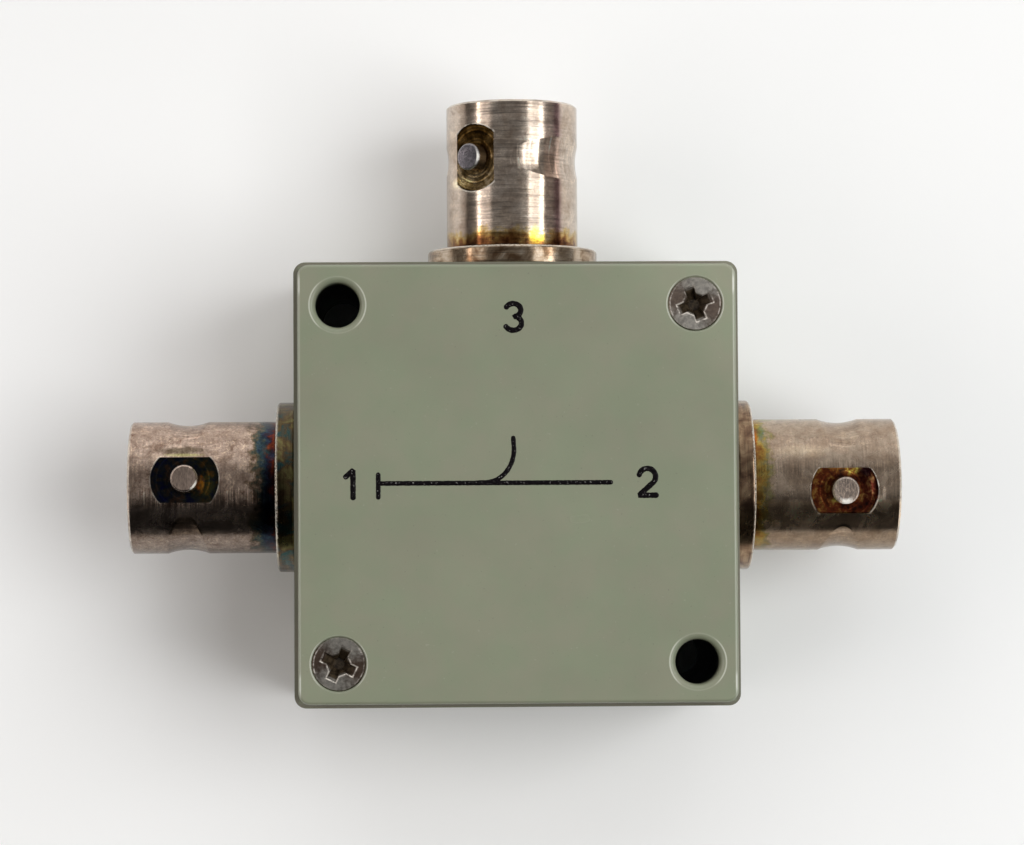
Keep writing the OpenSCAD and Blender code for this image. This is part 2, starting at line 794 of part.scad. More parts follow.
// The coupled line: from the tap's trace through the second ring to the load
module coupled_wire() {
    wire_z = trace_top_z + line_wire_d / 2;
    inside_x = core_l / 2 + wire_past_core;
    tap_foot = [tap_trace_x, coupled_foot_y, wire_z];
    load_foot = [return_pad_x, load_pad_y, wire_z];
    right = [inside_x, -core_pitch, core_z];
    left = [-inside_x, -core_pitch, core_z];
    color([0.78, 0.77, 0.74]) wire(concat(
        reversed(lead_curve(right, [wire_flat, 0, 0], tap_foot, [0, wire_flat, -wire_end_gap], 10)),
        [right, left],
        lead_curve(left, [-wire_flat, 0, 0], load_foot, [0, wire_bend, -wire_end_gap], 10)
    ), line_wire_d);
}

module resistor_body() {
    lead_hole_r = resistor_lead_d / 2 + press_gap;
    color([0.80, 0.70, 0.52]) translate([load_x, resistor_y, board_top_z + resistor_d / 2 + press_gap])
        rotate([90, 0, 0]) rotate_extrude($fn = 48) difference() {
            translate([0, -resistor_l / 2]) square([resistor_d / 2, resistor_l]);
            translate([resistor_d / 2 - resistor_waist, -resistor_l / 2 + cap_l])
                square([resistor_d, resistor_l - 2 * cap_l]);
            for (side = [-1, 1]) translate([0, side * (resistor_l / 2 - cap_l / 2)])
                square([2 * lead_hole_r, cap_l + 2 * press_gap], center = true);
        }
}

module resistor_leads() {
    body_z = board_top_z + resistor_d / 2 + press_gap;
    foot_z = trace_top_z + resistor_lead_d / 2;
    color([0.78, 0.77, 0.74]) {
        for (foot_y = [load_pad_y, ground_pad_y]) {
            side = sign(foot_y - resistor_y);
            root = [load_x, resistor_y + side * (resistor_l / 2 - cap_l + press_gap), body_z];
            out = [load_x, resistor_y + side * (resistor_l / 2 + resistor_lead_out), body_z];
            foot = [load_x, foot_y, foot_z];
            bend = [0, side * resistor_lead_bend, 0];
            wire(concat([root, out], lead_curve(out, bend, foot, bend, 6)), resistor_lead_d);
        }
    }
}

module in_shell() { shell(in_dir, in_pin_angle); }
module in_bayonet_pins() { bayonet_pins(in_dir, in_pin_angle); }
module in_front_insulator() { front_insulator(in_dir); }
module in_contact() { contact(in_dir); }
module in_rear_insulator() { rear_insulator(in_dir); }
module in_washer() { washer(in_dir); }
module in_nut() { nut(in_dir); }

module out_shell() { shell(out_dir, out_pin_angle); }
module out_bayonet_pins() { bayonet_pins(out_dir, out_pin_angle); }
module out_front_insulator() { front_insulator(out_dir); }
module out_contact() { contact(out_dir); }
module out_rear_insulator() { rear_insulator(out_dir); }
module out_washer() { washer(out_dir); }
module out_nut() { nut(out_dir); }

module tap_shell() { shell(tap_dir, tap_pin_angle); }
module tap_bayonet_pins() { bayonet_pins(tap_dir, tap_pin_angle); }
module tap_front_insulator() { front_insulator(tap_dir); }
module tap_contact() { contact(tap_dir); }
module tap_rear_insulator() { rear_insulator(tap_dir); }
module tap_washer() { washer(tap_dir); }
module tap_nut() { nut(tap_dir); }

housing();
lid();
lid_screw_right();
lid_screw_left();
in_shell();
in_bayonet_pins();
in_front_insulator();
in_contact();
in_rear_insulator();
in_washer();
in_nut();
out_shell();
out_bayonet_pins();
out_front_insulator();
out_contact();
out_rear_insulator();
out_washer();
out_nut();
tap_shell();
tap_bayonet_pins();
tap_front_insulator();
tap_contact();
tap_rear_insulator();
tap_washer();
tap_nut();
circuit_board();
board_traces();
board_screws();
line_core();
line_winding();
tap_core();
tap_winding();
through_wire();
coupled_wire();
resistor_body();
resistor_leads();
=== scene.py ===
# %% [markdown]
# # A directional coupler, seen from above
#
# The real object is a small square box with a screwed lid, enamelled in grey-green, and three bayonet
# jacks on its sides. It lies on a pale table, and the camera looks straight down at it.
#
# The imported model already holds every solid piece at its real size, so this script never moves them. It
# adds what the solids can't carry: the enamel, the tarnish on the jacks, the printed signs on the lid,
# and the light that shows them. Lengths on the object are in millimetres and are turned into metres by
# `MM`. The table and the lamps are given in metres.

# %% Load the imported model
import math

import bpy
import numpy as np
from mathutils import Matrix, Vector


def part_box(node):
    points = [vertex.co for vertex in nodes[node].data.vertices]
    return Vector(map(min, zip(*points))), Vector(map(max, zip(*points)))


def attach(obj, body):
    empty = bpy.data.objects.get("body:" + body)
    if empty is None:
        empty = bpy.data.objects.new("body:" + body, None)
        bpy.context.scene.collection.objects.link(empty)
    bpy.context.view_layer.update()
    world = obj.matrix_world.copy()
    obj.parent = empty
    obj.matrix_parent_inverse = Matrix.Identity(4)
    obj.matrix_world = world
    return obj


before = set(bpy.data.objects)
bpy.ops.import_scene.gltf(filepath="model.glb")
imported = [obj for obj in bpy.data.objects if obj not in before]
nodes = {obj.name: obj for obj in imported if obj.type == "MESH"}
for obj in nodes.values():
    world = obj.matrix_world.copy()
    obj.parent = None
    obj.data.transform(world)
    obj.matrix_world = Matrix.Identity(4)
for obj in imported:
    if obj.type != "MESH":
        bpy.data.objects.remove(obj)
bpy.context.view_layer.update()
MM = 0.001
print("nodes:", len(nodes))

# %% [markdown]
# ## Sizes that the looks share with the solids
#
# A finish that follows a piece has to know where that piece is. Where a solid's box gives a value, it is
# read from there, so that a change of size moves the finish with it. The other values were written down
# from the part's source, apart from three: `PIN_FACE_R` lies just below the pins' faces, `SCALLOP_HALF`
# reaches just past the scallops' ends, and `SUNK_R` lies just inside the mouths of the open holes.
#
# The three jacks are alike, so a pattern on one of them is written once, in that jack's own terms. A name
# that ends in `_S` counts along a jack's axis from the middle of the box, and one that ends in `_R` is a
# radius. Half widths or lengths end in `_HALF` and thicknesses in `_T`.

# %% Measure the box and the jacks
def box_mm(name):
    """The lowest and the highest corner of one solid, in millimetres."""
    return [np.array(corner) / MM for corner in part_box(name)]


lid_high = box_mm("lid")[1]
body_high = box_mm("housing")[1]
shell_low, shell_high = box_mm("out_shell")
pin_low, pin_high = box_mm("out_bayonet_pins")

TOP_Z = lid_high[2]
LID_HALF = lid_high[0]
LID_T = TOP_Z - body_high[2]
AXIS_Z = (shell_low[2] + shell_high[2]) / 2
MOUTH_S = shell_high[0]
PIN_S = (pin_low[0] + pin_high[0]) / 2
PIN_R = 0.98
PIN_FACE_R = 5.38
FLANGE_R = (shell_high[2] - shell_low[2]) / 2
FLANGE_T = 1.45
FLANGE_S = body_high[0] + FLANGE_T
BARREL_R = 4.825
BORE_R = 4.065
POCKET_R = 2.45
POCKET_FLOOR_R = 4.53
POCKET_EDGE = math.sqrt(BARREL_R ** 2 - POCKET_FLOOR_R ** 2)
SCALLOP_R, SCALLOP_RING, SCALLOP_OFF, SCALLOP_HALF = 4.293, 9.566, 0.7285, 1.55
HOLE_PLACE = 12.7
SUNK_R = 2.01
print("lid top at", round(TOP_Z, 3), "mm, jack axes at", round(AXIS_Z, 3), "mm")

# %% [markdown]
# ## The camera
#
# The photograph was taken from about 25 cm, almost straight above. The rims of the jacks' mouths look
# slightly bowed in it, which gives the distance: from further away they would look straighter. The lens
# then follows from the size of the jacks in the picture, and no shift is needed.

# %% Place the camera
def put(name, data):
    """A new object in the scene, for a camera, a lamp or a mesh."""
    thing = bpy.data.objects.new(name, data)
    bpy.context.scene.collection.objects.link(thing)
    return thing


CAMERA_PLACE = (-6.87, -4.97, 245.16)
CAMERA_TURN = (2.357, -1.632, -0.348)
camera_data = bpy.data.cameras.new("overhead_camera")
camera_data.sensor_fit = "HORIZONTAL"
camera_data.sensor_width = 36.0
camera_data.lens = 112.36
camera_data.clip_start = 0.01
camera_data.clip_end = 20.0
camera = put("overhead_camera", camera_data)
camera.location = [place * MM for place in CAMERA_PLACE]
camera.rotation_euler = [math.radians(turn) for turn in CAMERA_TURN]
bpy.context.scene.camera = camera
bpy.context.scene.view_settings.view_transform = "Standard"
print("camera", CAMERA_PLACE, "mm")

# %% [markdown]
# ## Arithmetic with the outputs of nodes
#
# Every finish here is a net of nodes that reads the piece's own coordinates. Written out in full, such a
# net is long and hard to follow. A small class holds one output of a node and knows what plus, minus,
# times and divided by mean for it: each adds a math node, so a formula reads as it does on paper.

# %% Values that can be added and multiplied
class Value:
    """One output of a node. Arithmetic with it adds a math node to the same net."""

    def __init__(self, net, socket):
        self.net = net
        self.socket = socket

    def __add__(self, other):
        return self.net.math("ADD", self, other)

    def __sub__(self, other):
        return self.net.math("SUBTRACT", self, other)

    def __rsub__(self, other):
        return self.net.math("SUBTRACT", other, self)

    def __mul__(self, other):
        return self.net.math("MULTIPLY", self, other)

    def __truediv__(self, other):
        return self.net.math("DIVIDE", self, other)

    def __rtruediv__(self, other):
        return self.net.math("DIVIDE", other, self)

    def __abs__(self):
        return self.net.math("ABSOLUTE", self)


# %% [markdown]
# ## Short words for building a finish
#
# The steps that arithmetic doesn't cover get a plain word each: `noise`, `band`, `ramp`, `blend`. A
# `Net` wires any tree of shader nodes, and a `Finish` is the net of one material. A tint is a colour
# that multiplies another, as a thin film on metal does, so the pattern below it shows through.

# %% Nets and finishes
X, Y, Z = 0, 1, 2
WHITE = (1.0, 1.0, 1.0)


def rgba(colour):
    """A colour with its fourth part, from three parts or a single grey."""
    if isinstance(colour, (int, float)):
        colour = (colour, colour, colour)
    return (*colour, 1.0)


def scaled(colour, factor):
    """A colour that is darker or brighter by a factor."""
    return tuple(part * factor for part in colour)


class Net:
    """A net of shader nodes while it is being wired together."""

    def __init__(self, tree):
        self.tree = tree
        self.tree.nodes.clear()

    def node(self, kind, inputs, **settings):
        """A node with its settings, its inputs linked to an output or set to a value."""
        node = self.tree.nodes.new(kind)
        for key, value in settings.items():
            setattr(node, key, value)
        for key, value in inputs.items():
            if isinstance(value, Value):
                self.tree.links.new(value.socket, node.inputs[key])
            else:
                node.inputs[key].default_value = value
        return node

    def add(self, kind, inputs=(), output=0, **settings):
        """One output of a new node."""
        return Value(self, self.node(kind, dict(inputs), **settings).outputs[output])

    def math(self, operation, a, b=0.0, clamp=False):
        """a OPERATION b, as for plain numbers."""
        return self.add("ShaderNodeMath", {0: a, 1: b}, operation=operation, use_clamp=clamp)

    def most(self, first, *others):
        """The greatest of several values."""
        for other in others:
            first = self.math("MAXIMUM", first, other)
        return first

    def length(self, a, b):
        """The root of a squared plus b squared."""
        return self.math("SQRT", a * a + b * b)

    def split(self, vector):
        """The three parts of a vector."""
        return [Value(self, part) for part in self.node("ShaderNodeSeparateXYZ", {0: vector}).outputs]

    def join(self, x, y, z=0.0):
        """A vector from its parts."""
        return self.add("ShaderNodeCombineXYZ", {0: x, 1: y, 2: z})

    def noise(self, vector, scale, detail, roughness=0.55, distortion=0.0):
        """Soft random patches, from 0 to 1, about 1 / scale across."""
        return self.add("ShaderNodeTexNoise", {
            "Vector": vector, "Scale": scale, "Detail": detail,
            "Roughness": roughness, "Distortion": distortion}, "Fac")

    def step(self, value, low, high, start=0.0, end=1.0):
        """start below low, end above high, and a smooth change between them."""
        return self.add("ShaderNodeMapRange", {
            "Value": value, "From Min": low, "From Max": high, "To Min": start, "To Max": end},
            "Result", interpolation_type="SMOOTHSTEP")

    def fall(self, value, low, high, end=0.0):
        """1 below low and end above high."""
        return self.step(value, low, high, 1.0, end)

    def band(self, value, low, high, soft):
        """1 between low and high, 0 outside, with soft edges."""
        return self.step(value, low - soft, low + soft) * self.fall(value, high - soft, high + soft)

    def ramp(self, value, *stops):
        """Colours laid out along value; each stop is a place and a colour or a grey."""
        node = self.node("ShaderNodeValToRGB", {"Fac": value})
        line = node.color_ramp
        while len(line.elements) < len(stops):
            line.elements.new(1.0)
        for element, (where, colour) in zip(line.elements, stops):
            element.position = where
            element.color = rgba(colour)
        return Value(self, node.outputs["Color"])

    def blend(self, amount, a, b, kind="MIX", clamp=False):
        """Colour a turning into colour b as amount goes from 0 to 1."""
        a, b = (value if isinstance(value, Value) else rgba(value) for value in (a, b))
        return self.add("ShaderNodeMix", {0: amount, 6: a, 7: b}, 2,
                        data_type="RGBA", blend_type=kind, clamp_result=clamp)

    def tint(self, colour, strength, factor):
        """The colour multiplied by a factor, as far as strength says."""
        return self.blend(strength, colour, factor, "MULTIPLY")

    def mix(self, amount, a, b):
        """Number a turning into number b as amount goes from 0 to 1."""
        return self.add("ShaderNodeMix", {0: amount, 2: a, 3: b}, data_type="FLOAT")

    def bump(self, height, depth, strength, under=None):
        """A normal that makes the surface look raised by height times depth, in millimetres."""
        inputs = {"Height": height, "Distance": depth * MM, "Strength": strength}
        if under is not None:
            inputs["Normal"] = under
        return self.add("ShaderNodeBump", inputs)


class Finish(Net):
    """One procedural material, whose patterns lie on the piece's own coordinates in millimetres."""

    def __init__(self, name):
        self.material = bpy.data.materials.new(name)
        self.material.use_nodes = True
        super().__init__(self.material.node_tree)
        metres = self.add("ShaderNodeTexCoord", output="Object")
        self.place = self.add("ShaderNodeVectorMath", {0: metres, "Scale": 1.0 / MM}, operation="SCALE")

    def finish(self, colour, rough, metal=0.0, normal=None, more=()):
        """The shader itself; constants go on its own sockets."""
        inputs = {"Base Color": colour, "Roughness": rough, "Metallic": metal, **dict(more)}
        if normal is not None:
            inputs["Normal"] = normal
        shader = self.add("ShaderNodeBsdfPrincipled", inputs)
        self.node("ShaderNodeOutputMaterial", {"Surface": shader})
        return self.material


def dress(material, *names):
    """Gives CAD nodes their finish, in the material slots that they already have."""
    for name in names:
        for place in nodes[name].material_slots:
            place.material = material
    print(material.name, "on", ", ".join(names))


# %% [markdown]
# ## The room
#
# Bare metal looks like whatever is around it, so the room matters more than the metal's own colour. The
# bands along the jacks tell what the real room was like: a long window-like light to the right, another
# to the left, a dim ceiling, a bright wall beyond the top of the picture and darkness at its foot.
#
# The room is a world shader that reads only the direction of a ray. The camera sees a plain pale
# backdrop in its place, so the picture stays clean.

# %% Build the room
world = bpy.data.worlds.new("room")
bpy.context.scene.world = world
world.use_nodes = True
room = Net(world.node_tree)
toward = room.split(room.add("ShaderNodeTexCoord", output="Generated"))

# The brightness runs from the dark front over the dim ceiling to the bright back
DARK_FRONT, DIM_CEILING, BRIGHT_BACK = 0.012, 0.23, 1.05
front_to_back = room.ramp(
    toward[Y] * 0.5 + 0.5, (0.0, DARK_FRONT), (0.20, DARK_FRONT), (0.30, 0.06), (0.42, 0.19),
    (0.5, DIM_CEILING), (0.72, 0.25), (0.82, 0.50), (0.90, 0.80), (1.0, BRIGHT_BACK))
studio = room.add("ShaderNodeBackground", {"Color": front_to_back})
pale = room.add("ShaderNodeBackground", {"Color": rgba((0.93, 0.93, 0.925))})
from_camera = room.add("ShaderNodeLightPath", output="Is Camera Ray")
seen = room.add("ShaderNodeMixShader", {0: from_camera, 1: studio, 2: pale})
room.node("ShaderNodeOutputWorld", {0: seen})
print("room with", len(room.tree.nodes), "nodes")

# %% [markdown]
# ## The lamps
#
# Two long panels stand in for the windows, and they draw the two bright streaks along the jack at the
# top; a narrow bright frame beside each gives its streak a sharp outer line. Most of the light on the
# table came from directions that no jack mirrors towards the camera, so the fills light the table and
# the enamel and stay out of the reflections.
#
# The fills' powers were found by rendering each lamp alone and fitting the sum to the brightness of the
# table and the lid in the photo; the left one was then raised a little. The mirrored lamps were set from
# the places and the brightness of the streaks.

# %% Hang the lamps
def panel(name, from_zenith, azimuth, width, length, distance, watts, colour, mirrored=True):
    """A flat lamp that faces the box from a direction given by two angles, in degrees."""
    lean, turn = math.radians(from_zenith), math.radians(azimuth)
    lamp = bpy.data.lights.new(name, "AREA")
    lamp.shape = "RECTANGLE"
    lamp.size = width
    lamp.size_y = length
    lamp.energy = watts
    lamp.color = colour
    holder = put(name, lamp)
    holder.location = (distance * math.sin(lean) * math.cos(turn),
                       distance * math.sin(lean) * math.sin(turn),
                       distance * math.cos(lean))
    holder.rotation_euler = (0.0, lean, turn)
    holder.visible_glossy = mirrored
    print(name, "of", watts, "W at", [round(v, 2) for v in holder.location], "m")


SUN_SIDE, SHADE_SIDE = (0.985, 1.0, 1.0), (1.0, 0.925, 0.885)
panel("right_window_light", 41, 0, 0.30, 0.5, 0.6, 0.82, SUN_SIDE)
panel("right_window_frame", 51, 0, 0.06, 0.5, 0.58, 0.32, SUN_SIDE)
panel("right_window_fill", 33, 0, 0.4, 0.4, 0.6, 1.6, SUN_SIDE, mirrored=False)
panel("left_window_light", -50, 0, 0.24, 0.5, 0.6, 0.32, SHADE_SIDE)
panel("left_window_frame", -61, 0, 0.05, 0.5, 0.58, 0.34, SHADE_SIDE)
panel("left_window_fill", -52, 0, 0.24, 1.1, 0.6, 0.72, SHADE_SIDE, mirrored=False)
panel("back_fill", 45, 90, 0.5, 0.8, 0.8, 1.05, SUN_SIDE, mirrored=False)

# %% [markdown]
# ## The table
#
# The box lies on a pale, slightly glossy sheet, which is not part of the object. It takes the object's
# shadow, so it gives no light of its own: the lamps and the room light it.

# %% Lay the sheet
FLOOR_HALF = 1.5
FLOOR_Z = -0.00002
corners = [(-1, -1), (1, -1), (1, 1), (-1, 1)]
floor_mesh = bpy.data.meshes.new("pale_sheet")
floor_mesh.from_pydata([(x * FLOOR_HALF, y * FLOOR_HALF, FLOOR_Z) for x, y in corners], [], [(0, 1, 2, 3)])
floor = put("pale_sheet", floor_mesh)
sheet = Finish("pale_sheet")
cloudy = sheet.noise(sheet.place, 0.014, 2.0)
sheet_colour = sheet.ramp(cloudy, (0.3, (0.895, 0.893, 0.885)), (0.7, (0.925, 0.922, 0.918)))
floor_mesh.materials.append(sheet.finish(sheet_colour, 0.55, more={"Specular IOR Level": 0.3}))
print("sheet of", 2 * FLOOR_HALF, "m")

# %% [markdown]
# ## Light that is painted on the enamel
#
# The lips of the sunk holes and the lid's side edges glint in the photo, and its back right corner is
# brighter. The lamps here make a plain level and give none of this, so paler tints stand in for that
# light. The depth of the holes is tinted nearly black and the ledge below the lid darker and browner,
# both as painted shade.

# %% Paint the glints
def painted_light(paint, base):
    """The colour with painted light, pale lips, glints at the lid's sides and one brighter corner, and with
    painted shade in the wells and on the ledge below the lid.
    """
    x, y, z = paint.split(paint.place)
    below = TOP_Z - z

    # The four sunk places lie alike in the four corners: two hold screws, two are open holes
    beside = abs(x) - HOLE_PLACE
    away = paint.length(beside, abs(y) - HOLE_PLACE)
    lip = paint.band(away, SUNK_R - 0.05, SUNK_R + 0.05, 0.03) * paint.step(abs(beside), 1.0, 1.8, 0.15, 0.75)
    base = paint.blend(lip * paint.fall(below, 0.05, 0.5), base, (0.52, 0.53, 0.45))
    # Painted shade: the depth of each hole is tinted nearly black
    well = paint.fall(away, SUNK_R - 0.26, SUNK_R - 0.21) * paint.step(below, 1.0, 1.7)
    base = paint.blend(well, base, (0.004, 0.004, 0.004))

    # The painted glints are plainest next to the lid's corners, and the ledge below the lid gets a darker,
    # browner painted shade
    glint = paint.band(abs(x), LID_HALF - 0.235, LID_HALF - 0.105, 0.04) * paint.fall(below, 0.04, 0.16)
    near_corner = paint.band(abs(y), LID_HALF - 1.975, LID_HALF - 0.975, 0.4)
    glint *= paint.math("ADD", near_corner, 0.30, clamp=True)
    base = paint.blend(glint * 0.75, base, (0.62, 0.63, 0.56))
    ledge = paint.step(paint.most(abs(x), abs(y)), LID_HALF - 0.075, LID_HALF - 0.015)
    ledge *= paint.band(below, LID_T - 0.1, LID_T + 0.35, 0.06)
    base = paint.tint(base, ledge, (0.86, 0.78, 0.84))
    return paint.tint(base, paint.step(x + y, 17.0, 30.0, 0.0, 0.9), (1.22, 1.21, 1.22))


# %% [markdown]
# ## Grey-green enamel
#
# The box and its lid look sprayed with a semi-gloss enamel. Sprayed paint is never quite flat: it has a
# faint orange peel under a millimetre across, a little cloudiness, and specks of dust. The peel is a
# bump, the rest is colour. Enamel is not metal, so the shader stays a plain one with a low roughness.
# Lid and housing read the same noises at places far apart, so that their patterns differ.

# %% Mix the enamel
def enamel(name, colour, seed):
    """Sprayed enamel: cloudy colour, a few dark and pale specks, and a faint peel."""
    paint = Finish(name)
    shift = [seed / MM * part for part in (1.0, 0.7, 0.3)]
    moved = paint.add("ShaderNodeVectorMath", {0: paint.place, 1: shift}, operation="ADD")
    cloud = paint.noise(moved, 0.16, 3.0)
    base = paint.ramp(cloud, (0.32, scaled(colour, 0.965)), (0.68, scaled(colour, 1.035)))
    hue = paint.noise(moved, 0.33, 3.0, 0.6)
    base = paint.tint(base, 1.0, paint.ramp(hue, (0.36, (0.97, 1.01, 0.985)), (0.64, (1.03, 0.992, 1.012))))
    grit = paint.noise(moved, 5.2, 1.0)
    base = paint.blend(paint.step(grit, 0.70, 0.80, 0.0, 0.28), base, (0.10, 0.10, 0.075))
    pale_grit = paint.noise(moved, 3.9, 1.0)
    base = paint.blend(paint.step(pale_grit, 0.72, 0.82, 0.0, 0.16), base, (0.42, 0.44, 0.38))
    peel = paint.bump(paint.noise(moved, 1.1, 2.0, 0.45), 0.012, 0.5)
    waves = paint.bump(paint.noise(moved, 0.24, 1.0), 0.06, 0.5, peel)
    rough = paint.mix(cloud, 0.20, 0.30)
    return paint.finish(painted_light(paint, base), rough, 0.0, waves, {"Specular IOR Level": 0.5})


ENAMEL = (0.222, 0.236, 0.166)
dress(enamel("lid_enamel", ENAMEL, 3.0), "lid")
dress(enamel("body_enamel", scaled(ENAMEL, 0.97), 11.0), "housing")

# %% [markdown]
# ## A finish in a jack's own terms
#
# Each jack looks like turned brass with silver plate that has tarnished to a pinkish brown. The lathe
# left fine rings round the axis. They spread a reflection along the axis and leave it narrow round the
# barrel, so the shader is anisotropic, and its tangent is the axis plus the direction away from it: on
# the barrel that comes to the axis, and on the flat faces to the radius.
#
# A finish of a turned piece is easiest in the piece's own terms: how far along the axis, how far from
# it, and how far to the side. They also keep the rings closed round the barrel, with no seam.

# %% Jack coordinates
OUTWARD = {"in": (X, -1.0), "out": (X, 1.0), "tap": (Y, 1.0)}
SIDEWAYS = {"in": (Y, 1.0), "out": (Y, -1.0), "tap": (X, 1.0)}


class TurnedFinish(Finish):
    """A finish that knows where a point lies on one jack, whose pins are turned by an angle in degrees."""

    def __init__(self, name, port, pin_angle):
        super().__init__(name)
        place = self.split(self.place)
        (axis, outward), (side_axis, sideways) = OUTWARD[port], SIDEWAYS[port]
        self.along = place[axis] * outward
        self.side = place[side_axis] * sideways
        self.up = place[Z] - AXIS_Z
        self.radius = self.length(self.side, self.up)
        cosine, sine = math.cos(math.radians(pin_angle)), math.sin(math.radians(pin_angle))
        self.beside_pin = self.along - PIN_S
        self.across_pin = self.side * cosine - self.up * sine
        self.toward_pin = self.side * sine + self.up * cosine
        self.off_pin = self.length(self.beside_pin, self.across_pin)

    def rings(self, fineness, spread, detail=2.0):
        """Noise that changes fast along the axis and slowly round it, with no seam."""
        turn = spread / self.radius
        vector = self.join(self.along * fineness, self.side * turn, self.up * turn)
        return self.noise(vector, 1.0, detail, 0.6)

    def tangent(self, port):
        """The axis plus the direction away from it."""
        across, up = self.side * SIDEWAYS[port][1] / self.radius, self.up / self.radius
        return self.join(across, 1.0, up) if port == "tap" else self.join(1.0, across, up)
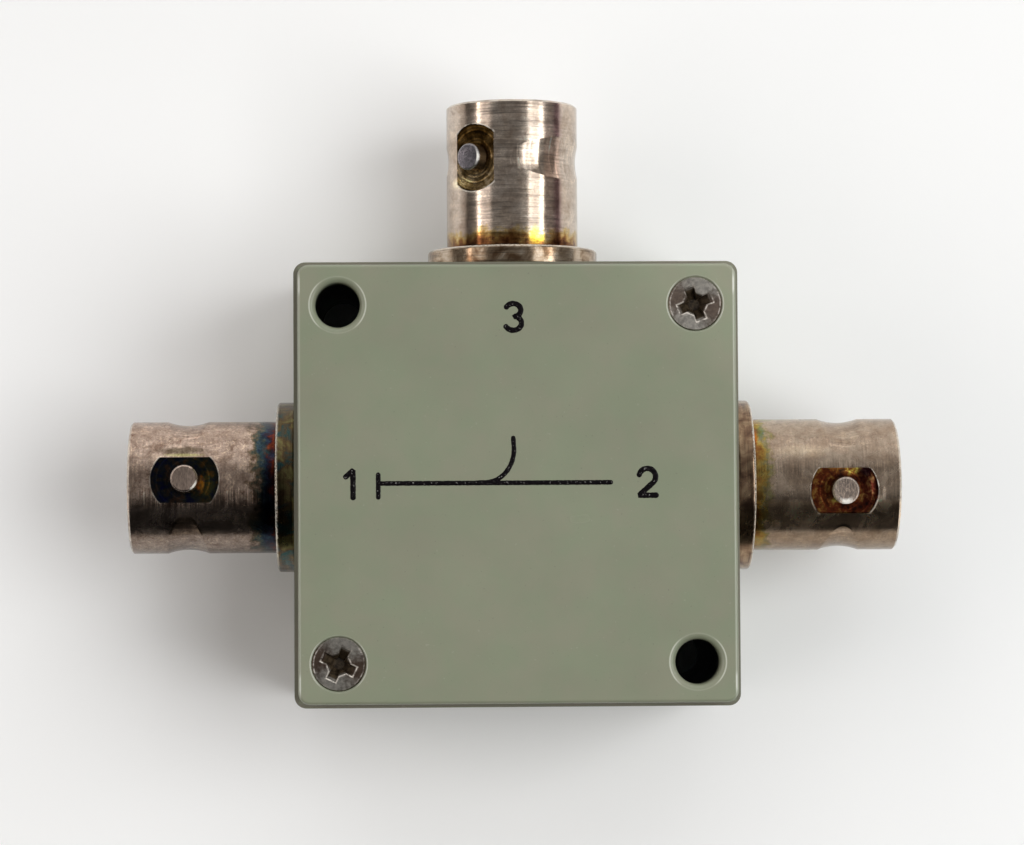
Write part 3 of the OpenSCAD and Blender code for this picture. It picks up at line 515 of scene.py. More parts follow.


# %% [markdown]
# ## What differs between the jacks
#
# The plating of all three jacks is made by the same layers. What differs is a table of looks:
#
# - `tones`: the pale and the middle tarnish of the barrel; `veined` and `flecked`: how strong its mottle
#   and its flecks are
# - `lines`: how plainly the lathe's hairlines show, and `scour`: where and how much they shine, as a
#   painted sheen
# - `heavy`: where across the jack a painted shade darkens one side, and its tint; `streak` and
#   `bands`: from where to where across the jack a tint runs the whole length, as a painted reflection;
#   `calm`: the share of the mottle and the flecks that is left in the streak
# - `scallop`: where in a scallop a painted tint lies, shade on two jacks and a highlight on the top one, its
#   tint, and how plainly the cutter's lines show
# - `film` and `film_reach`: the tints next to the flange, where no plug rubs, and how far they go
# - `pocket`, `pocket_shade`, `arcs` and `flange`: the colours of the cuts round the pins, the tint of
#   their outer ends, how plainly the cutter's arcs show in them, and the colours of the flange
# - `rim`: how plain the pale edge of the pockets is, wear with a painted glint, and `gloss`: the lowest and
#   the highest roughness
# - `marks`: single stains, and bright patches that are painted highlights and reflections,
#   each with its place, size, tint and strength, and `pocket_marks`: the same for the pocket's
#   floor alone, at full strength
#
# The jack at the left is stained nearly black next to its flange, with blue and red at the stain's
# front. The one at the right has a thin straw-coloured film, and its pocket is rusty. The one at the top
# is the brightest, with the plainest lathe marks.

# %% The three looks
LOOKS = {
    "in": dict(
        tones=((0.55, 0.415, 0.335), (0.42, 0.305, 0.24)), veined=0.9, flecked=0.8,
        lines=0.45, scour=[(-1.5, -0.2, 0.9)], heavy=[(-2.2, -3.6, (0.50, 0.52, 0.53))],
        streak=(-3.2, -1.5, (1.1, 1.15, 1.2)), bands=(), calm=0.5,
        scallop=(-3.5, -2.2, (0.45, 0.42, 0.37), 0.5),
        film=((0.0, (0.30, 0.09, 0.05)), (0.10, (0.26, 0.07, 0.07)), (0.20, (0.08, 0.06, 0.11)),
              (0.38, (0.045, 0.085, 0.20)), (0.56, (0.08, 0.18, 0.27)), (0.72, (0.20, 0.28, 0.25)),
              (0.86, (0.50, 0.46, 0.38)), (1.0, WHITE)), film_reach=1.9,
        pocket=((0.006, 0.007, 0.020), (0.016, 0.018, 0.012), (0.060, 0.030, 0.010)),
        pocket_shade=(23.0, 24.4, (0.60, 0.62, 1.05)), pocket_marks=(), arcs=0.4, rim=0.35,
        flange=((0.030, 0.075, 0.075), (0.11, 0.070, 0.035), (0.19, 0.17, 0.070)), gloss=(0.22, 0.30),
        marks=((24.0, 2.62, 1.8, 0.34, (0.36, 0.36, 0.31), 0.95),
               (23.9, 2.28, 1.6, 0.14, (1.0, 1.2, 0.70), 0.9),
               (24.1, -2.85, 1.7, 0.50, (0.30, 0.28, 0.28), 0.95),
               (18.1, 2.6, 0.45, 0.55, (1.6, 2.2, 1.3), 0.9),
               (17.6, -0.7, 1.6, 2.7, (0.22, 0.20, 0.22), 0.92),
               (22.72, 0.25, 0.28, 0.62, (13.0, 5.4, 1.6), 0.95),
               (22.2, 0.2, 0.55, 1.10, (2.6, 2.4, 1.2), 0.9))),
    "out": dict(
        tones=((0.46, 0.36, 0.275), (0.40, 0.295, 0.215)), veined=0.55, flecked=0.25,
        lines=0.35, scour=[(-1.6, -0.6, 0.25)], heavy=[(2.6, 3.9, (0.64, 0.60, 0.54))],
        streak=(1.3, 3.1, (2.35, 2.2, 2.0)), bands=(), calm=0.25,
        scallop=(2.4, 3.3, (0.34, 0.33, 0.30), 0.3),
        film=((0.0, (0.60, 0.34, 0.14)), (0.22, (0.80, 0.60, 0.20)), (0.48, (0.95, 0.88, 0.32)),
              (0.70, (0.66, 0.76, 0.50)), (0.86, (0.95, 0.92, 0.80)), (1.0, WHITE)), film_reach=1.35,
        pocket=((0.030, 0.010, 0.007), (0.14, 0.030, 0.011), (0.42, 0.24, 0.06)),
        pocket_shade=(24.7, 25.6, (0.55, 0.50, 0.70)), arcs=0.5, rim=0.7,
        pocket_marks=((24.0, -1.15, 1.2, 0.60, (3.0, 5.0, 3.4)), (23.6, 1.1, 1.0, 0.35, (1.8, 3.0, 2.4)),
                      (25.4, -0.9, 0.5, 0.5, (0.40, 0.45, 1.1))),
        flange=((0.13, 0.075, 0.05), (0.24, 0.15, 0.092), (0.36, 0.25, 0.155)), gloss=(0.22, 0.30),
        marks=((20.9, -2.35, 2.2, 0.50, (1.5, 1.55, 1.5), 0.8),
               (17.45, -3.35, 0.28, 0.55, (1.35, 0.62, 0.28), 0.95),
               (17.95, -3.75, 0.30, 0.55, (0.50, 0.84, 1.10), 0.9),
               (17.60, -4.25, 0.40, 0.30, (1.0, 1.05, 0.40), 0.9),
               (26.75, 0.75, 0.14, 0.60, (2.6, 2.7, 2.8), 0.9),
               (25.2, -0.6, 0.50, 0.80, (0.35, 0.30, 0.40), 0.9),
               (25.95, 0.2, 0.20, 0.90, (4.0, 4.2, 4.6), 0.9),
               (26.4, 1.15, 0.30, 0.28, (2.6, 2.6, 2.6), 0.9))),
    "tap": dict(
        tones=((0.64, 0.54, 0.455), (0.52, 0.415, 0.33)), veined=0.55, flecked=0.15,
        lines=0.9, scour=(), heavy=(),
        streak=(2.95, 3.45, (0.62, 0.45, 0.52)), calm=1.0,
        bands=((-3.75, -3.05, (0.58, 0.55, 0.53)), (0.5, 1.3, (1.5, 1.5, 1.5)),
               (2.35, 2.95, (1.3, 1.2, 1.2))),
        scallop=(2.2, 3.4, (1.12, 1.05, 1.0), 0.7),
        film=((0.0, (0.15, 0.07, 0.035)), (0.25, (0.36, 0.19, 0.09)), (0.48, (0.72, 0.52, 0.20)),
              (0.72, (0.94, 0.84, 0.48)), (1.0, WHITE)), film_reach=1.4,
        pocket=((0.050, 0.031, 0.012), (0.17, 0.11, 0.045), (0.45, 0.34, 0.20)),
        pocket_shade=(23.2, 25.0, (0.38, 0.30, 0.17)), pocket_marks=(), arcs=1.0, rim=0.7,
        flange=((0.17, 0.10, 0.055), (0.38, 0.28, 0.19), (0.55, 0.45, 0.35)), gloss=(0.16, 0.24),
        marks=((24.2, -2.2, 0.9, 0.35, (0.50, 0.36, 0.18), 0.9),
               (18.05, 1.65, 0.75, 0.60, (2.0, 2.3, 0.85), 0.9),
               (17.9, -0.4, 0.80, 1.0, (0.55, 0.42, 0.36), 0.9),
               (22.1, -3.7, 0.50, 0.8, (2.2, 2.3, 2.0), 0.9))),
}
for port, look in LOOKS.items():
    print(port, "has", len(look["marks"]) + len(look["pocket_marks"]), "marks of its own")

# %% [markdown]
# ## The barrel's tarnish
#
# The layers below share a few noises and places, so these are made once for each jack. The barrel starts
# from large patches of two tones. A veined mottle, fine grains and flecks multiply them, and the lathe's
# hairlines go over it all, plainest in the middle, where the light grazes them.

# %% Tarnish and hairlines
class Plate(TurnedFinish):
    """The plate of one jack's shell, with the noises and places that its layers share."""

    def __init__(self, port, pin_angle):
        super().__init__(port + "_tarnished_plate", port, pin_angle)
        self.look = LOOKS[port]
        self.patches = self.noise(self.place, 0.55, 4.0, 0.6, 0.5)
        self.mottle = self.noise(self.place, 1.3, 6.0, 0.66, 0.4)
        self.grain = self.noise(self.place, 7.0, 3.0, 0.7)
        self.hairlines = self.rings(7.0, 1.5, 3.0)
        self.line_tint = self.ramp(self.hairlines, (0.34, 0.50), (0.47, 0.95), (0.58, 1.0), (0.70, 1.30))
        self.from_flange = self.along - FLANGE_S
        self.in_streak = self.band(self.side, *self.look["streak"][:2], 0.25)

    def spot(self, along, side, long, wide):
        """1 inside an oval on the jack's upper half and 0 outside it, with a soft and ragged edge."""
        reach = self.length((self.along - along) / long, (self.side - side) / wide)
        inside = self.fall(reach + (self.mottle * 1.4 - 0.7), 0.35, 1.2)
        return inside * self.step(self.up, 0.0, 0.5)


def tarnish(plate):
    """Large patches with veins, grains and flecks; veins and flecks are calmer in the streak."""
    look = plate.look
    veins = plate.ramp(plate.mottle, (0.30, (0.44, 0.36, 0.32)), (0.44, (0.82, 0.79, 0.76)), (0.54, WHITE),
                       (0.66, (1.36, 1.35, 1.28)))
    grains = plate.ramp(plate.grain, (0.34, 0.76), (0.50, 1.0), (0.66, 1.22))
    flecks = plate.ramp(plate.noise(plate.place, 3.2, 4.0, 0.62, 1.6), (0.33, (0.55, 0.44, 0.38)),
                        (0.42, WHITE), (0.56, WHITE), (0.66, (1.65, 1.70, 1.58)))
    veined, flecked = (plate.mix(plate.in_streak, look[key], look[key] * look["calm"])
                       for key in ("veined", "flecked"))
    colour = plate.ramp(plate.patches, (0.38, look["tones"][1]), (0.62, look["tones"][0]))
    colour = plate.tint(plate.tint(colour, veined, veins), look["veined"], grains)
    return plate.tint(colour, flecked, flecks)


def lathe_marks(plate, colour):
    """The colour with fine and broad rings, and bands of painted sheen where the rings shine."""
    shown = plate.fall(abs(plate.side), 3.0, 4.2, 0.2) * plate.look["lines"]
    colour = plate.tint(colour, shown, plate.line_tint)
    colour = plate.tint(colour, shown, plate.ramp(plate.rings(2.2, 1.2), (0.36, 0.75), (0.60, 1.10)))
    # Painted sheen: bands on the upper half where the rings shine
    for low, high, strength in plate.look["scour"]:
        ring_sheen_mask = plate.band(plate.side, low, high, 0.35) * plate.step(plate.up, 0.0, 0.5, 0.0, strength)
        grooves = plate.ramp(plate.rings(13.0, 1.0), (0.40, 0.50), (0.52, 1.0), (0.64, 2.4))
        colour = plate.tint(colour, ring_sheen_mask, grooves)
    return colour


# %% [markdown]
# ## Streaks and scallops
#
# The barrel mirrors the room as long streaks, and the photo has more of them than the lamps here draw.
# Tints that run the whole length stand in for the rest as painted reflections, and a painted shade
# darkens one side of two jacks. The one that the table calls `streak` fades in the scallops, where the
# surface turns away. A ring-shaped cutter took the scallops out, so a point is in one when it lies inside
# that ring. They keep the cutter's marks, which run along the axis, and in a part of them a painted
# shade, which on the jack at the top is paler, a painted highlight.

# %% Streaks and scallops
def in_scallop(plate):
    """1 in the scallops. The ring's axis lies off the barrel's own."""
    from_axis = plate.length(abs(plate.across_pin) + SCALLOP_OFF, plate.toward_pin)
    from_core = plate.length(SCALLOP_RING - from_axis, plate.beside_pin)
    inside = plate.fall(from_core, SCALLOP_R + 0.03, SCALLOP_R + 0.05)
    return inside * plate.band(plate.beside_pin, -SCALLOP_HALF, SCALLOP_HALF, 0.03)


def streaks(plate, colour, cut):
    """The colour with a painted shade at one side and with tints that run the whole length, painted
    reflections.
    """
    # Painted shade darkens one side of the jack
    for low, high, side_shade_tint in plate.look["heavy"]:
        colour = plate.tint(colour, plate.step(plate.side, low, high), side_shade_tint)
    # Painted reflections: the streak and the bands
    colour = plate.tint(colour, plate.in_streak * plate.mix(cut, 1.0, 0.3), plate.look["streak"][2])
    for low, high, shade in plate.look["bands"]:
        colour = plate.tint(colour, plate.band(plate.side, low, high, 0.3), shade)
    return colour


def scallops(plate, colour, cut):
    """The colour with a painted tint in part of the scallops, a shade on two jacks and a highlight on the top
    one, and with the cutter's lines in them.
    """
    low, high, scallop_shade, marked = plate.look["scallop"]
    # Painted shade in part of each scallop; on the jack at the top the tint is paler, a painted highlight
    colour = plate.tint(colour, cut * plate.band(plate.side, low, high, 0.12), scallop_shade)
    cutter = plate.noise(plate.join(plate.toward_pin * 4.0, plate.along * 0.2), 1.0, 2.0)
    lines = plate.ramp(cutter, (0.36, 0.70), (0.54, 1.0), (0.60, 1.1), (0.68, 2.3))
    return plate.tint(colour, cut * marked, lines)


# %% [markdown]
# ## Film, flange and pockets
#
# No plug rubs the barrel next to the flange, so a film has stayed there. Its tints run along the axis
# with a ragged front, and the corner at its foot has gone nearly black. The flange has its own, darker
# tarnish. The pockets are the flat floors that a cutter left round the pins, with the arcs it drew.

# %% Film, flange and pockets
def film(plate, colour):
    """The colour with the film next to the flange and the nearly black corner."""
    ragged = plate.noise(plate.place, 0.9, 6.0, 0.7) * 3.6 - 1.8
    depth = (plate.from_flange + ragged) / plate.look["film_reach"]
    on_barrel = plate.step(plate.radius, BARREL_R - 0.5, BARREL_R - 0.4)
    on_barrel *= plate.step(plate.from_flange, -0.02, 0.02)
    colour = plate.tint(colour, on_barrel, plate.ramp(depth, *plate.look["film"]))
    corner = plate.step(plate.from_flange, 0.02, 0.22, 0.75, 0.0) * on_barrel
    return plate.blend(corner, colour, (0.02, 0.014, 0.010))


def flange(plate, colour):
    """The colour with the flange's own tarnish."""
    stain = plate.noise(plate.place, 0.9, 4.0, 0.6, 0.6)
    stained = plate.ramp(stain, *zip((0.36, 0.50, 0.64), plate.look["flange"]))
    stained = plate.tint(stained, 1.0, plate.line_tint)
    return plate.blend(plate.fall(plate.from_flange, -0.06, 0.0), colour, stained)


def in_pocket(plate):
    """1 on the floor and the wall that the cutter left round the pin."""
    inside = plate.fall(plate.off_pin, POCKET_R + 0.02, POCKET_R + 0.05)
    inside *= plate.fall(abs(plate.across_pin), POCKET_EDGE - 0.01, POCKET_EDGE + 0.01)
    return inside * plate.step(plate.radius, BORE_R + 0.135, BORE_R + 0.185)


def pockets(plate, colour, inside, arcs):
    """The colour with the pockets' stains, their shaded ends, their own stains and painted glints, and the
    cutter's arcs.
    """
    look = plate.look
    stain = plate.noise(plate.place, 1.5, 5.0, 0.70, 0.2)
    stained = plate.ramp(stain, *zip((0.36, 0.50, 0.66), look["pocket"]))
    start, end, shade = look["pocket_shade"]
    stained = plate.tint(stained, plate.step(plate.along, start, end), shade)
    # Stains, and bright patches that are painted reflections, on the pocket's floor
    for *oval, factor in look["pocket_marks"]:
        stained = plate.tint(stained, plate.spot(*oval), factor)
    arc_lines = plate.ramp(arcs, (0.34, 0.30), (0.50, 0.9), (0.58, 1.2), (0.66, 2.8))
    return plate.blend(inside, colour, plate.tint(stained, look["arcs"], arc_lines))


# %% [markdown]
# ## The whole plate
#
# The real edges of the pockets, the flange and the mouth are worn and catch the light. The solids' edges
# are sharp and catch none, so pale bands with a lower share of metal stand in for those glints. Inside
# the mouth the plate is plain and darker, a painted shade in the bore.

# %% Plating
PALE_EDGE = (0.80, 0.74, 0.64)


def worn_and_glinting_edges(plate):
    """How pale a point is as an edge of a pocket, of the flange or of the mouth: wear with a painted glint.
    """
    rim = plate.band(plate.off_pin, POCKET_R - 0.02, POCKET_R + 0.10, 0.03)
    rim *= plate.step(plate.radius, BARREL_R - 0.06, BARREL_R - 0.03)
    rim *= plate.step(plate.mottle, 0.38, 0.56, 0.1, plate.look["rim"])
    rim *= plate.fall(abs(plate.across_pin), POCKET_EDGE + 0.02, POCKET_EDGE + 0.10)
    edge = plate.band(plate.radius, FLANGE_R - 0.26, FLANGE_R - 0.04, 0.05)
    edge *= plate.band(plate.from_flange, -0.20, 0.02, 0.03) * plate.step(plate.grain, 0.36, 0.60, 0.25, 0.9)
    mouth = plate.step(plate.along, MOUTH_S - 0.20, MOUTH_S - 0.10)
    mouth *= plate.step(plate.mottle, 0.36, 0.60, 0.1, 0.6)
    return plate.most(rim, edge, mouth)


def plating(port, pin_angle):
    """Tarnished, lathe-turned plate for one jack's shell."""
    plate = Plate(port, pin_angle)
    look = plate.look
    cut, pocket = in_scallop(plate), in_pocket(plate)
    arcs = plate.noise(plate.join(plate.off_pin * 6.0, plate.beside_pin * 0.5), 1.0, 2.0)
    colour = streaks(plate, lathe_marks(plate, tarnish(plate)), cut)
    colour = flange(plate, film(plate, scallops(plate, colour, cut)))
    colour = pockets(plate, colour, pocket, arcs)
    # Stains, and pale patches that are painted highlights and reflections
    for *oval, factor, strength in look["marks"]:
        colour = plate.tint(colour, plate.spot(*oval) * strength, factor)
    # The edges are paler: wear with a painted glint
    wear_and_glint = worn_and_glinting_edges(plate)
    colour = plate.blend(wear_and_glint, colour, PALE_EDGE)
    # Painted shade: the plate inside the bore is a plain, darker tone
    in_bore = plate.fall(plate.radius, BORE_R + 0.055, BORE_R + 0.095)
    colour = plate.blend(in_bore, colour, scaled(look["tones"][1], 0.7))

    # No metal is brighter than white, and a shader that is told so gives false colours
    colour = plate.blend(0.0, colour, WHITE, clamp=True)
    rough = plate.mix(plate.step(plate.patches, 0.35, 0.65), *look["gloss"]) + pocket * 0.08
    normal = plate.bump(plate.hairlines, 0.008, 0.8)
    normal = plate.bump(arcs * pocket, 0.02, 0.8 * look["arcs"], normal)
    return plate.finish(colour, rough, 1.0 - wear_and_glint * 0.55, normal,
                        {"Anisotropic": 0.6, "Tangent": plate.tangent(port)})


PIN_ANGLES = {"in": 6.0, "out": 7.0, "tap": -37.5}  # how far the marks round each pin are turned
for port, pin_angle in PIN_ANGLES.items():
    dress(plating(port, pin_angle), port + "_shell")

# %% [markdown]
# ## Pins
#
# The plug's ramps keep the pins' faces clean, so they carry a clean plate with scratches that run one
# way. A scratch is noise stretched along one direction. The face is a little dished. The photo shows a
# crescent of light at one side of each face; the room here holds no lamp for it, so it is painted on.

# %% Pins
# The bright side is where the painted crescent lies, and the dull edge is the painted shade of the face's
# edge away from it
PIN_LOOKS = {  # tone, bright side, dull edge, share that isn't metal, mottle, the crescent's place and form
    "in": ((0.67, 0.51, 0.42), (-0.80, -0.60), 0.85, 0.0, 0.4, (0.90, 0.09, 0.42)),
    "out": ((0.80, 0.64, 0.54), (0.08, 1.0), 0.6, 0.12, 0.9, (0.74, 0.28, 0.50)),
    "tap": ((0.25, 0.235, 0.26), (-0.1, 1.0), 0.6, 0.0, 0.8, (0.90, 0.09, 0.55)),
}


def crescent_of_light(pins, toward, crosswise, form, strokes, mottled):
    """1 in a ragged oval at one side of the pin's face."""
    off_middle, half_wide, half_long = form
    reach = pins.length((pins.off_pin - off_middle) / half_wide, crosswise / half_long)
    reach += (strokes * 1.6 - 0.8) * mottled
    return pins.step(reach, 0.3, 1.3, 0.95, 0.0) * pins.step(toward, 0.0, 0.2)


def pin_plate(port, tone, bright_side, edge_shade, matte, mottled, crescent_form):
    """Clean plate with scratches that run one way, a painted bright crescent at one side, and painted shade
    on the far edge and on the pin's side.
    """
    pins = TurnedFinish(port + "_worn_pin_plate", port, PIN_ANGLES[port])
    stretched = pins.add("ShaderNodeVectorMath", {0: pins.place, 1: (9.0, 1.8, 2.0)}, operation="MULTIPLY")
    scratch = pins.noise(stretched, 1.4, 3.0, 0.6)
    cloud = pins.noise(stretched, 0.3, 3.0)
    strokes = pins.noise(pins.join(pins.beside_pin * 6.5, pins.across_pin * 2.4), 1.0, 4.0, 0.7)
    colour = pins.ramp(scratch, (0.35, scaled(tone, 0.6)), (0.65, tone))
    colour = pins.blend(pins.step(cloud, 0.44, 0.62, 0.0, 0.45), colour, scaled(tone, 0.5))
    stroke_tint = pins.ramp(strokes, (0.38, (0.60, 0.58, 0.55)), (0.50, WHITE), (0.62, (1.55, 1.52, 1.45)))
    colour = pins.tint(colour, mottled, stroke_tint)
    # A pale ring at the face's edge: wear with a painted highlight
    wear_and_glint = pins.step(pins.off_pin, PIN_R - 0.10, PIN_R - 0.02, 0.0, 0.22)
    colour = pins.blend(wear_and_glint, colour, (0.80, 0.74, 0.66))

    # Painted shade: the rounded edge is darker away from the crescent, and the pin's side is tinted dark as a
    # painted shadow
    toward = pins.beside_pin * bright_side[0] + pins.across_pin * bright_side[1]
    crosswise = pins.beside_pin * bright_side[1] - pins.across_pin * bright_side[0]
    crescent = crescent_of_light(pins, toward, crosswise, crescent_form, strokes, mottled)
    rounded = pins.step(pins.off_pin, PIN_R - 0.09, PIN_R - 0.03) * pins.fall(toward, 0.2, 0.6)
    colour = pins.blend(crescent, pins.tint(colour, rounded, edge_shade), (0.90, 0.87, 0.80))
    side = pins.ramp(strokes, (0.36, (0.07, 0.038, 0.018)), (0.64, (0.26, 0.17, 0.09)))
    colour = pins.blend(pins.fall(pins.radius, PIN_FACE_R - 0.02, PIN_FACE_R + 0.02), colour, side)
    dish = pins.bump(pins.off_pin * pins.off_pin, 0.03, 1.0)
    metal = pins.math("MULTIPLY", 1.0 - matte - wear_and_glint * 0.5, 1.0 - crescent * 0.9, clamp=True)
    return pins.finish(colour, pins.mix(scratch, 0.18, 0.30), metal, pins.bump(scratch, 0.01, 0.7, dish))


for port, look in PIN_LOOKS.items():
    dress(pin_plate(port, *look), port + "_bayonet_pins")

# %% [markdown]
# ## Contacts
#
# The centre contacts can't be seen in the photo. Such contacts are mostly thin gold on spring bronze.
# Gold this thin is worn a little browner in places, so colour and gloss share one soft mottle.

# %% Contacts
def of_each_jack(piece):
    """The names of one kind of piece on the three jacks."""
    return [port + "_" + piece for port in LOOKS]


gold = Finish("thin_gold")
wear = gold.noise(gold.place, 3.0, 3.0)
gold_colour = gold.ramp(wear, (0.3, (0.62, 0.40, 0.14)), (0.7, (0.86, 0.62, 0.27)))
gold_rough = gold.mix(wear, 0.18, 0.32)
dress(gold.finish(gold_colour, gold_rough, 1.0, gold.bump(wear, 0.008, 0.6)), *of_each_jack("contact"))

# %% [markdown]
# ## Insulators
#
# The insulators look like a white waxy plastic. A little light goes into it and comes out beside the
# place where it went in, which a small share of subsurface scattering gives.

# %% Insulators
plastic = Finish("white_waxy_plastic")
wax = plastic.noise(plastic.place, 1.6, 3.0)
wax_colour = plastic.ramp(wax, (0.3, (0.70, 0.68, 0.62)), (0.7, (0.80, 0.785, 0.735)))
turned = plastic.bump(plastic.noise(plastic.place, 12.0, 1.0), 0.006, 0.5)
dress(plastic.finish(wax_colour, plastic.mix(wax, 0.42, 0.52), 0.0, turned,
                     {"Subsurface Weight": 0.12, "Subsurface Scale": 0.8 * MM}),
      *of_each_jack("front_insulator"), *of_each_jack("rear_insulator"))

# %% [markdown]
# ## Lid screws
#
# The two screws look like plain steel, gone brown. Rings on a turned head catch the light in two
# opposite sectors, which the photo shows in both heads; here they are painted as a paler tint, and so
# is the light on the lips of the recess. Its outline is needed for that: a cross is the union of two bars
# and a core, so a point's distance outside it is the least of its distances outside the three.

# %% Lid screws
# The pale steel is the painted sheen of the two sectors, and the dark steel the head elsewhere
SCREW_LOOKS = {  # which corner, turn of the cross, pale and dark steel
    "right": (1.0, 21.0, (0.60, 0.56, 0.50), (0.27, 0.205, 0.165)),
    "left": (-1.0, -26.0, (0.48, 0.45, 0.40), (0.15, 0.105, 0.080)),
}
CROSS_HALF, ARM_HALF, CORE_HALF = 1.25, 0.36, 0.80
SECTOR_WAY = (0.26, 0.97)


def outside_cross(steel, x, y, turn):
    """How far a point lies outside the cross, from its distances outside two arms and a core."""
    lean, rise = math.cos(math.radians(turn)), math.sin(math.radians(turn))
    u, v = abs(x * lean + y * rise), abs(y * lean - x * rise)
    arms = [steel.most(a - CROSS_HALF, b - ARM_HALF) for a, b in ((u, v), (v, u))]
    core = (u + v) * math.sqrt(0.5) - CORE_HALF
    return steel.math("MINIMUM", steel.math("MINIMUM", *arms), core)


def screw_steel(name, corner, turn, pale, dark):
    """Dull steel with turning rings, two painted paler sectors, a recess in painted dark-brown shade, and
    painted light on its edges.
    """
    steel = Finish(name + "_screw_steel")
    x, y, z = steel.split(steel.place)
    x, y = x - corner * HOLE_PLACE, y - corner * HOLE_PLACE
    off_axis = steel.length(x, y)
    mottle = steel.noise(steel.place, 3.5, 4.0, 0.65)

    # Two painted paler sectors, from the cosine of the angle to a line through the head, made ragged by the
    # mottle
    share = abs(x * SECTOR_WAY[0] + y * SECTOR_WAY[1]) / steel.most(off_axis, 0.05) + (mottle * 0.8 - 0.4)
    colour = steel.blend(steel.step(share, 0.25, 1.05), dark, pale)
    colour = steel.tint(colour, 1.0, steel.ramp(mottle, (0.36, 0.78), (0.62, 1.15)))

    # Light on the lips of the recess and on a ring near the head's edge
    lip = steel.band(outside_cross(steel, x, y, turn), -0.02, 0.08, 0.03) * steel.fall(y, 0.2, 0.9, 0.35)
    lip *= steel.step(mottle, 0.36, 0.58, 0.15, 0.95)
    ring = steel.band(off_axis, 1.75, 1.82, 0.04) * steel.step(abs(x), 0.8, 1.7, 0.0, 0.8)
    ring *= steel.step(mottle, 0.42, 0.60, 0.15, 1.0)
    wear_and_glint = steel.most(lip, ring)
    colour = steel.blend(wear_and_glint, colour, (0.84, 0.78, 0.70))

    # Painted shade: the recess is tinted dark brown, and the head's edge dark on its lower side, a painted
    # shadow of the gap
    deep = steel.step(TOP_Z - z, 0.07, 0.30)
    brown = steel.ramp(mottle, (0.40, (0.020, 0.013, 0.007)), (0.62, (0.085, 0.060, 0.035)))
    dark_edge = steel.step(off_axis, 1.85, 1.89) * steel.fall(y, -1.4, -0.2, 0.2)
    colour = steel.blend(dark_edge, steel.blend(deep, colour, brown), (0.05, 0.04, 0.03))
    rings = steel.bump(steel.noise(steel.join(off_axis * 9.0, 0.0), 1.0, 2.0), 0.012, 0.5)
    metal = steel.math("SUBTRACT", 1.0 - wear_and_glint * 0.5, deep * 0.7, clamp=True)
    return steel.finish(colour, steel.mix(mottle, 0.30, 0.48), metal, steel.bump(mottle, 0.03, 0.7, rings))


for name, look in SCREW_LOOKS.items():
    dress(screw_steel(name, *look), "lid_screw_" + name)

# %% [markdown]
# ## Pieces inside the box
#
# Nothing of these shows while the lid is on, so they share one plain recipe: two tones of the real
# stuff, mixed by a soft mottle that also moves the gloss and the relief.

# %% Pieces inside
STUFFS = (  # name, dark and pale tone, fineness of the mottle, roughness, share of metal, relief, pieces
    ("washer_steel", (0.36, 0.36, 0.35), (0.58, 0.58, 0.56), 3.0, (0.28, 0.42), 1.0, 0.008,
     of_each_jack("washer")),
    ("nut_plate", (0.48, 0.42, 0.30), (0.70, 0.64, 0.50), 2.2, (0.24, 0.38), 1.0, 0.008,
     of_each_jack("nut")),
    ("board_laminate", (0.035, 0.15, 0.07), (0.06, 0.24, 0.12), 5.0, (0.30, 0.42), 0.0, 0.008,
     ["circuit_board"]),
    ("trace_copper", (0.58, 0.30, 0.16), (0.84, 0.50, 0.30), 4.0, (0.28, 0.42), 1.0, 0.008,
     ["board_traces"]),
    ("board_screw_steel", (0.42, 0.42, 0.40), (0.62, 0.62, 0.60), 4.0, (0.25, 0.38), 1.0, 0.008,
     ["board_screws"]),
    ("ferrite", (0.035, 0.034, 0.034), (0.075, 0.073, 0.070), 6.0, (0.42, 0.60), 0.0, 0.02,
     ["line_core", "tap_core"]),
    ("enamelled_wire", (0.34, 0.08, 0.03), (0.52, 0.16, 0.07), 3.0, (0.16, 0.28), 0.6, 0.008,
     ["line_winding", "tap_winding"]),
    ("tinned_wire", (0.52, 0.51, 0.48), (0.70, 0.69, 0.66), 3.0, (0.22, 0.36), 1.0, 0.008,
     ["through_wire", "coupled_wire", "resistor_leads"]),
    ("resistor_lacquer", (0.48, 0.37, 0.23), (0.64, 0.52, 0.34), 3.0, (0.26, 0.38), 0.0, 0.008,
     ["resistor_body"]),
)
for name, dark, light, fineness, rough, metal, relief, pieces in STUFFS:
    stuff = Finish(name)
    mottle = stuff.noise(stuff.place, fineness, 3.0)
    colour = stuff.ramp(mottle, (0.32, dark), (0.68, light))
    dress(stuff.finish(colour, stuff.mix(mottle, *rough), metal, stuff.bump(mottle, relief, 0.6)), *pieces)

# %% [markdown]
# ## Signs on the lid
#
# The lid shows how the coupler is wired: a line from port 1 to port 2, with a bar at the end where the
# signal comes in, and a curve that leaves it towards port 3. The ink stands a little proud of the
# enamel and has soft, rounded edges. Plain numbers mark the ports.
#
# Each stroke is a low dome carried along a path. Its half width shrinks near the two ends like a
# circle, which rounds them, and a slow ripple along it gives the slightly ragged edge of screened ink.

# %% Paths and domes
INK_HEIGHT = 0.035
DOME_STEPS = 9
CAP_STEPS = 7


def arc(centre, radius, start, end, steps=18):
    """Points on an ellipse from one angle to another, in degrees."""
    turn = np.radians(np.linspace(start, end, steps))
    return np.stack([centre[0] + radius[0] * np.cos(turn), centre[1] + radius[1] * np.sin(turn)], 1)


def even_points(path, spacing=0.05):
    """The path's points at equal steps along it, and how far along it each lies."""
    path = np.asarray(path, float)
    lengths = np.r_[0.0, np.cumsum(np.linalg.norm(np.diff(path, axis=0), axis=1))]
    count = max(math.ceil(lengths[-1] / spacing), 3)
    at = np.linspace(0.0, lengths[-1], count + 1)
    return np.stack([np.interp(at, lengths, path[:, k]) for k in (0, 1)], 1), at


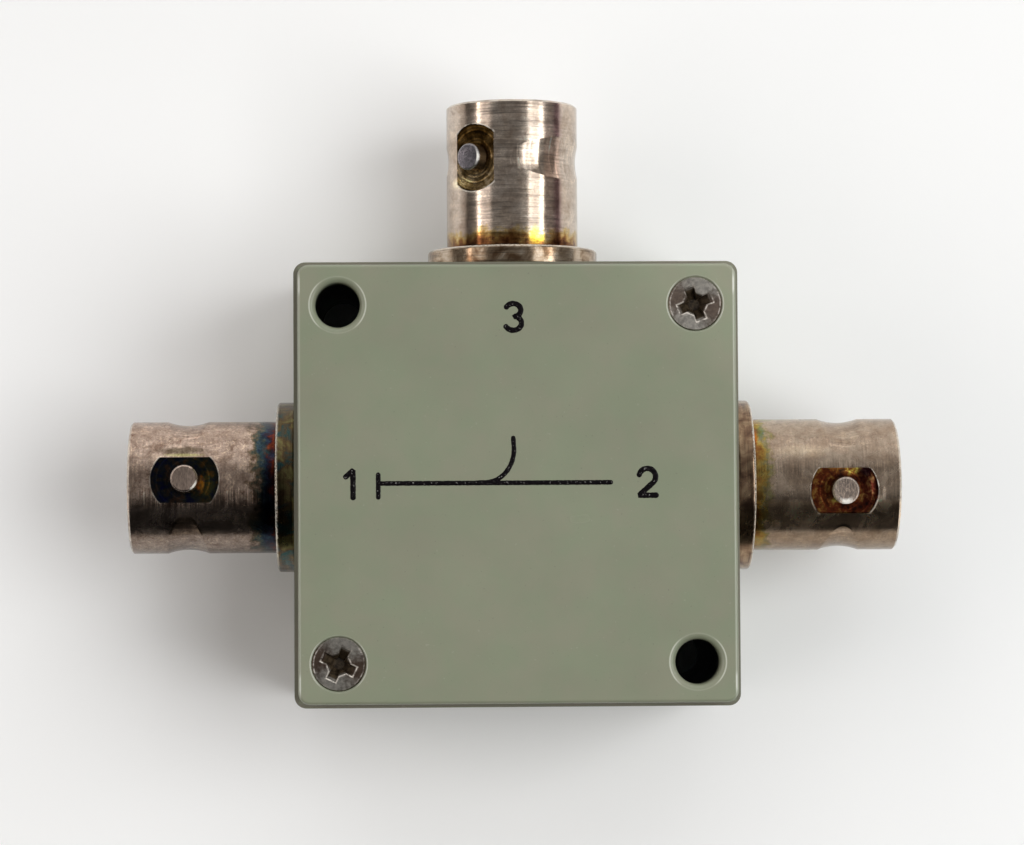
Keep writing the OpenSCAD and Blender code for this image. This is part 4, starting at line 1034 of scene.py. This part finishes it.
def dome_rows(path, width, seed):
    """The rows of points across a dome. Half width = width / 2 times a circle's fall at both ends and a
    small ripple; height = INK_HEIGHT times the root of 1 - across squared."""
    points, at = even_points(path)
    ahead = np.gradient(points, axis=0)
    ahead /= np.linalg.norm(ahead, axis=1)[:, None]
    first, last = points[0] - ahead[0] * width / 2, points[-1] + ahead[-1] * width / 2
    quarter = np.linspace(0.0, math.pi / 2, CAP_STEPS)
    cap, share = np.sin(quarter)[1:-1], (1 - np.cos(quarter))[1:-1, None]
    lead = first + (points[0] - first) * share
    trail = (last + (points[-1] - last) * share)[::-1]
    points = np.vstack([lead, points, trail])
    ahead = np.vstack([np.repeat(ahead[:1], len(lead), 0), ahead, np.repeat(ahead[-1:], len(trail), 0)])
    fall = np.r_[cap, np.ones(len(at)), cap[::-1]]
    run = np.linspace(0.0, at[-1] + width, len(points))
    ripple = 1 + 0.035 * np.sin(9.0 * run + seed) + 0.03 * np.sin(23.0 * run + 2.3 * seed)
    half = width / 2 * fall * ripple
    across = np.sin(np.linspace(-math.pi / 2, math.pi / 2, DOME_STEPS))
    sideways = np.stack([-ahead[:, 1], ahead[:, 0]], 1)
    flat = points[:, None, :] - sideways[:, None, :] * (half[:, None] * across[None, :])[:, :, None]
    rise = INK_HEIGHT * np.sqrt(np.clip(1 - across ** 2, 0, 1))[None, :] * np.sqrt(fall)[:, None]
    return np.concatenate([flat, rise[:, :, None]], 2), np.array([[*first, 0.0], [*last, 0.0]])


def ink_stroke(path, width, seed):
    """The vertices and faces of a dome along a path: rows of quads, a fan at each tip, a flat base."""
    top, tips = dome_rows(path, width, seed)
    rows, columns = top.shape[:2]
    index = np.arange(rows * columns).reshape(rows, columns)
    a, b, c, d = index[:-1, :-1], index[1:, :-1], index[1:, 1:], index[:-1, 1:]
    quads = np.stack([a, b, c, d], -1).reshape(-1, 4)[:, ::-1]
    tip_a, tip_b = rows * columns, rows * columns + 1
    fans = [(tip_a, int(index[0, k]), int(index[0, k + 1])) for k in range(columns - 1)]
    fans += [(tip_b, int(index[-1, k + 1]), int(index[-1, k])) for k in range(columns - 1)]
    base = [tip_a] + index[:, 0].tolist() + [tip_b] + index[::-1, -1].tolist()
    return np.vstack([top.reshape(-1, 3), tips]), quads.tolist() + fans + [tuple(base)]


# %% [markdown]
# ## Ink
#
# The ink looks like a glossy black epoxy. Its dome throws back tiny lights along the crest of each
# stroke, in places only. Pale specks painted along the crest stand in for them. A sign is one mesh made
# of one or more strokes, and its foot stands a hair inside the enamel, so that no gap shows.

# %% Black ink and how it is printed
SINK = 0.002

ink = Finish("black_ink")
smear = ink.noise(ink.place, 5.0, 3.0, 0.6)
ink_colour = ink.ramp(smear, (0.3, (0.0015, 0.001, 0.0015)), (0.75, (0.006, 0.004, 0.005)))
crest = ink.step(ink.split(ink.place)[Z], TOP_Z + 0.026, TOP_Z + 0.031)
specks = ink.step(ink.noise(ink.place, 5.5, 2.0, 0.7), 0.60, 0.68, 0.0, 0.40)
ink_colour = ink.blend(crest * specks, ink_colour, (0.42, 0.41, 0.38))
black_ink = ink.finish(ink_colour, ink.mix(smear, 0.14, 0.30), 0.0, ink.bump(smear, 0.04, 0.8),
                       {"Specular IOR Level": 0.16})


def print_sign(name, paths, width):
    """One printed sign, made of one or more strokes, on the lid's top."""
    vertices, faces, count = [], [], 0
    for number, path in enumerate(paths):
        points, polygons = ink_stroke(path, width, seed=1.7 * number + len(name))
        vertices.append(points)
        faces += [tuple(i + count for i in polygon) for polygon in polygons]
        count += len(points)
    places = np.vstack(vertices)
    places[:, 2] += TOP_Z - SINK
    mesh = bpy.data.meshes.new(name)
    mesh.from_pydata((places * MM).tolist(), [], faces)
    mesh.polygons.foreach_set("use_smooth", np.ones(len(mesh.polygons), bool))
    mesh.materials.append(black_ink)
    mesh.validate()
    mesh.update()
    piece = put(name, mesh)
    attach(piece, "root")
    print(name, "has", len(paths), "strokes and", len(mesh.polygons), "faces")


# %% [markdown]
# ## The wiring symbol
#
# The places of the strokes are real sizes on the lid, measured from its middle.

# %% Print the wiring symbol
SIGN_WIDTH = 0.34
LINE_Y = 0.03
LINE_START, LINE_END = -9.86, 6.60
BAR_LOW, BAR_HIGH = -0.97, 0.62
CURVE_START, CURVE_TOP = -2.9, 3.20
CURVE_X = -0.24
CURVE_R = (2.05, 2.36)

coupler_curve = np.vstack([
    [[CURVE_START, LINE_Y + 0.02]],
    arc((CURVE_X - CURVE_R[0], LINE_Y + 2.40), CURVE_R, -88, 0),
    [[CURVE_X - 0.05, CURVE_TOP]]])
print_sign("coupler_sign", [
    [(LINE_START, LINE_Y), (LINE_END, LINE_Y)],
    [(LINE_START, LINE_Y + BAR_LOW), (LINE_START, LINE_Y + BAR_HIGH)],
    coupler_curve], SIGN_WIDTH)

# %% [markdown]
# ## The port numbers
#
# The numbers are drawn with straight strokes and arcs, the way a lettering template guides a pen. All
# their sizes are shares of the height.

# %% Print the port numbers
DIGIT_HEIGHT = 1.9
DIGIT_WIDTH = 0.40
DIGIT_PLACES = {
    "port_number_in": (-11.7, 0.0),
    "port_number_out": (9.2, 0.05),
    "port_number_tap": (-0.24, 11.8),
}


def digit_paths(x, y, height):
    """The strokes of 1, 2 and 3 in turn, centred on a point."""
    half = height / 2
    wide = height * 0.31
    one = [(x - wide * 0.75, y + half * 0.55), (x + wide * 0.1, y + half), (x + wide * 0.1, y - half)]
    two = np.vstack([arc((x, y + half - wide), (wide, wide), 165, -38),
                     [[x - wide, y - half], [x + wide * 1.05, y - half]]])
    three = np.vstack([arc((x, y + half * 0.5), (wide * 0.92, half * 0.5), 150, -82),
                       arc((x, y - half * 0.47), (wide, half * 0.53), 82, -150)])
    return one, two, three


for number, (name, middle) in enumerate(DIGIT_PLACES.items()):
    print_sign(name, [digit_paths(*middle, DIGIT_HEIGHT)[number]], DIGIT_WIDTH)
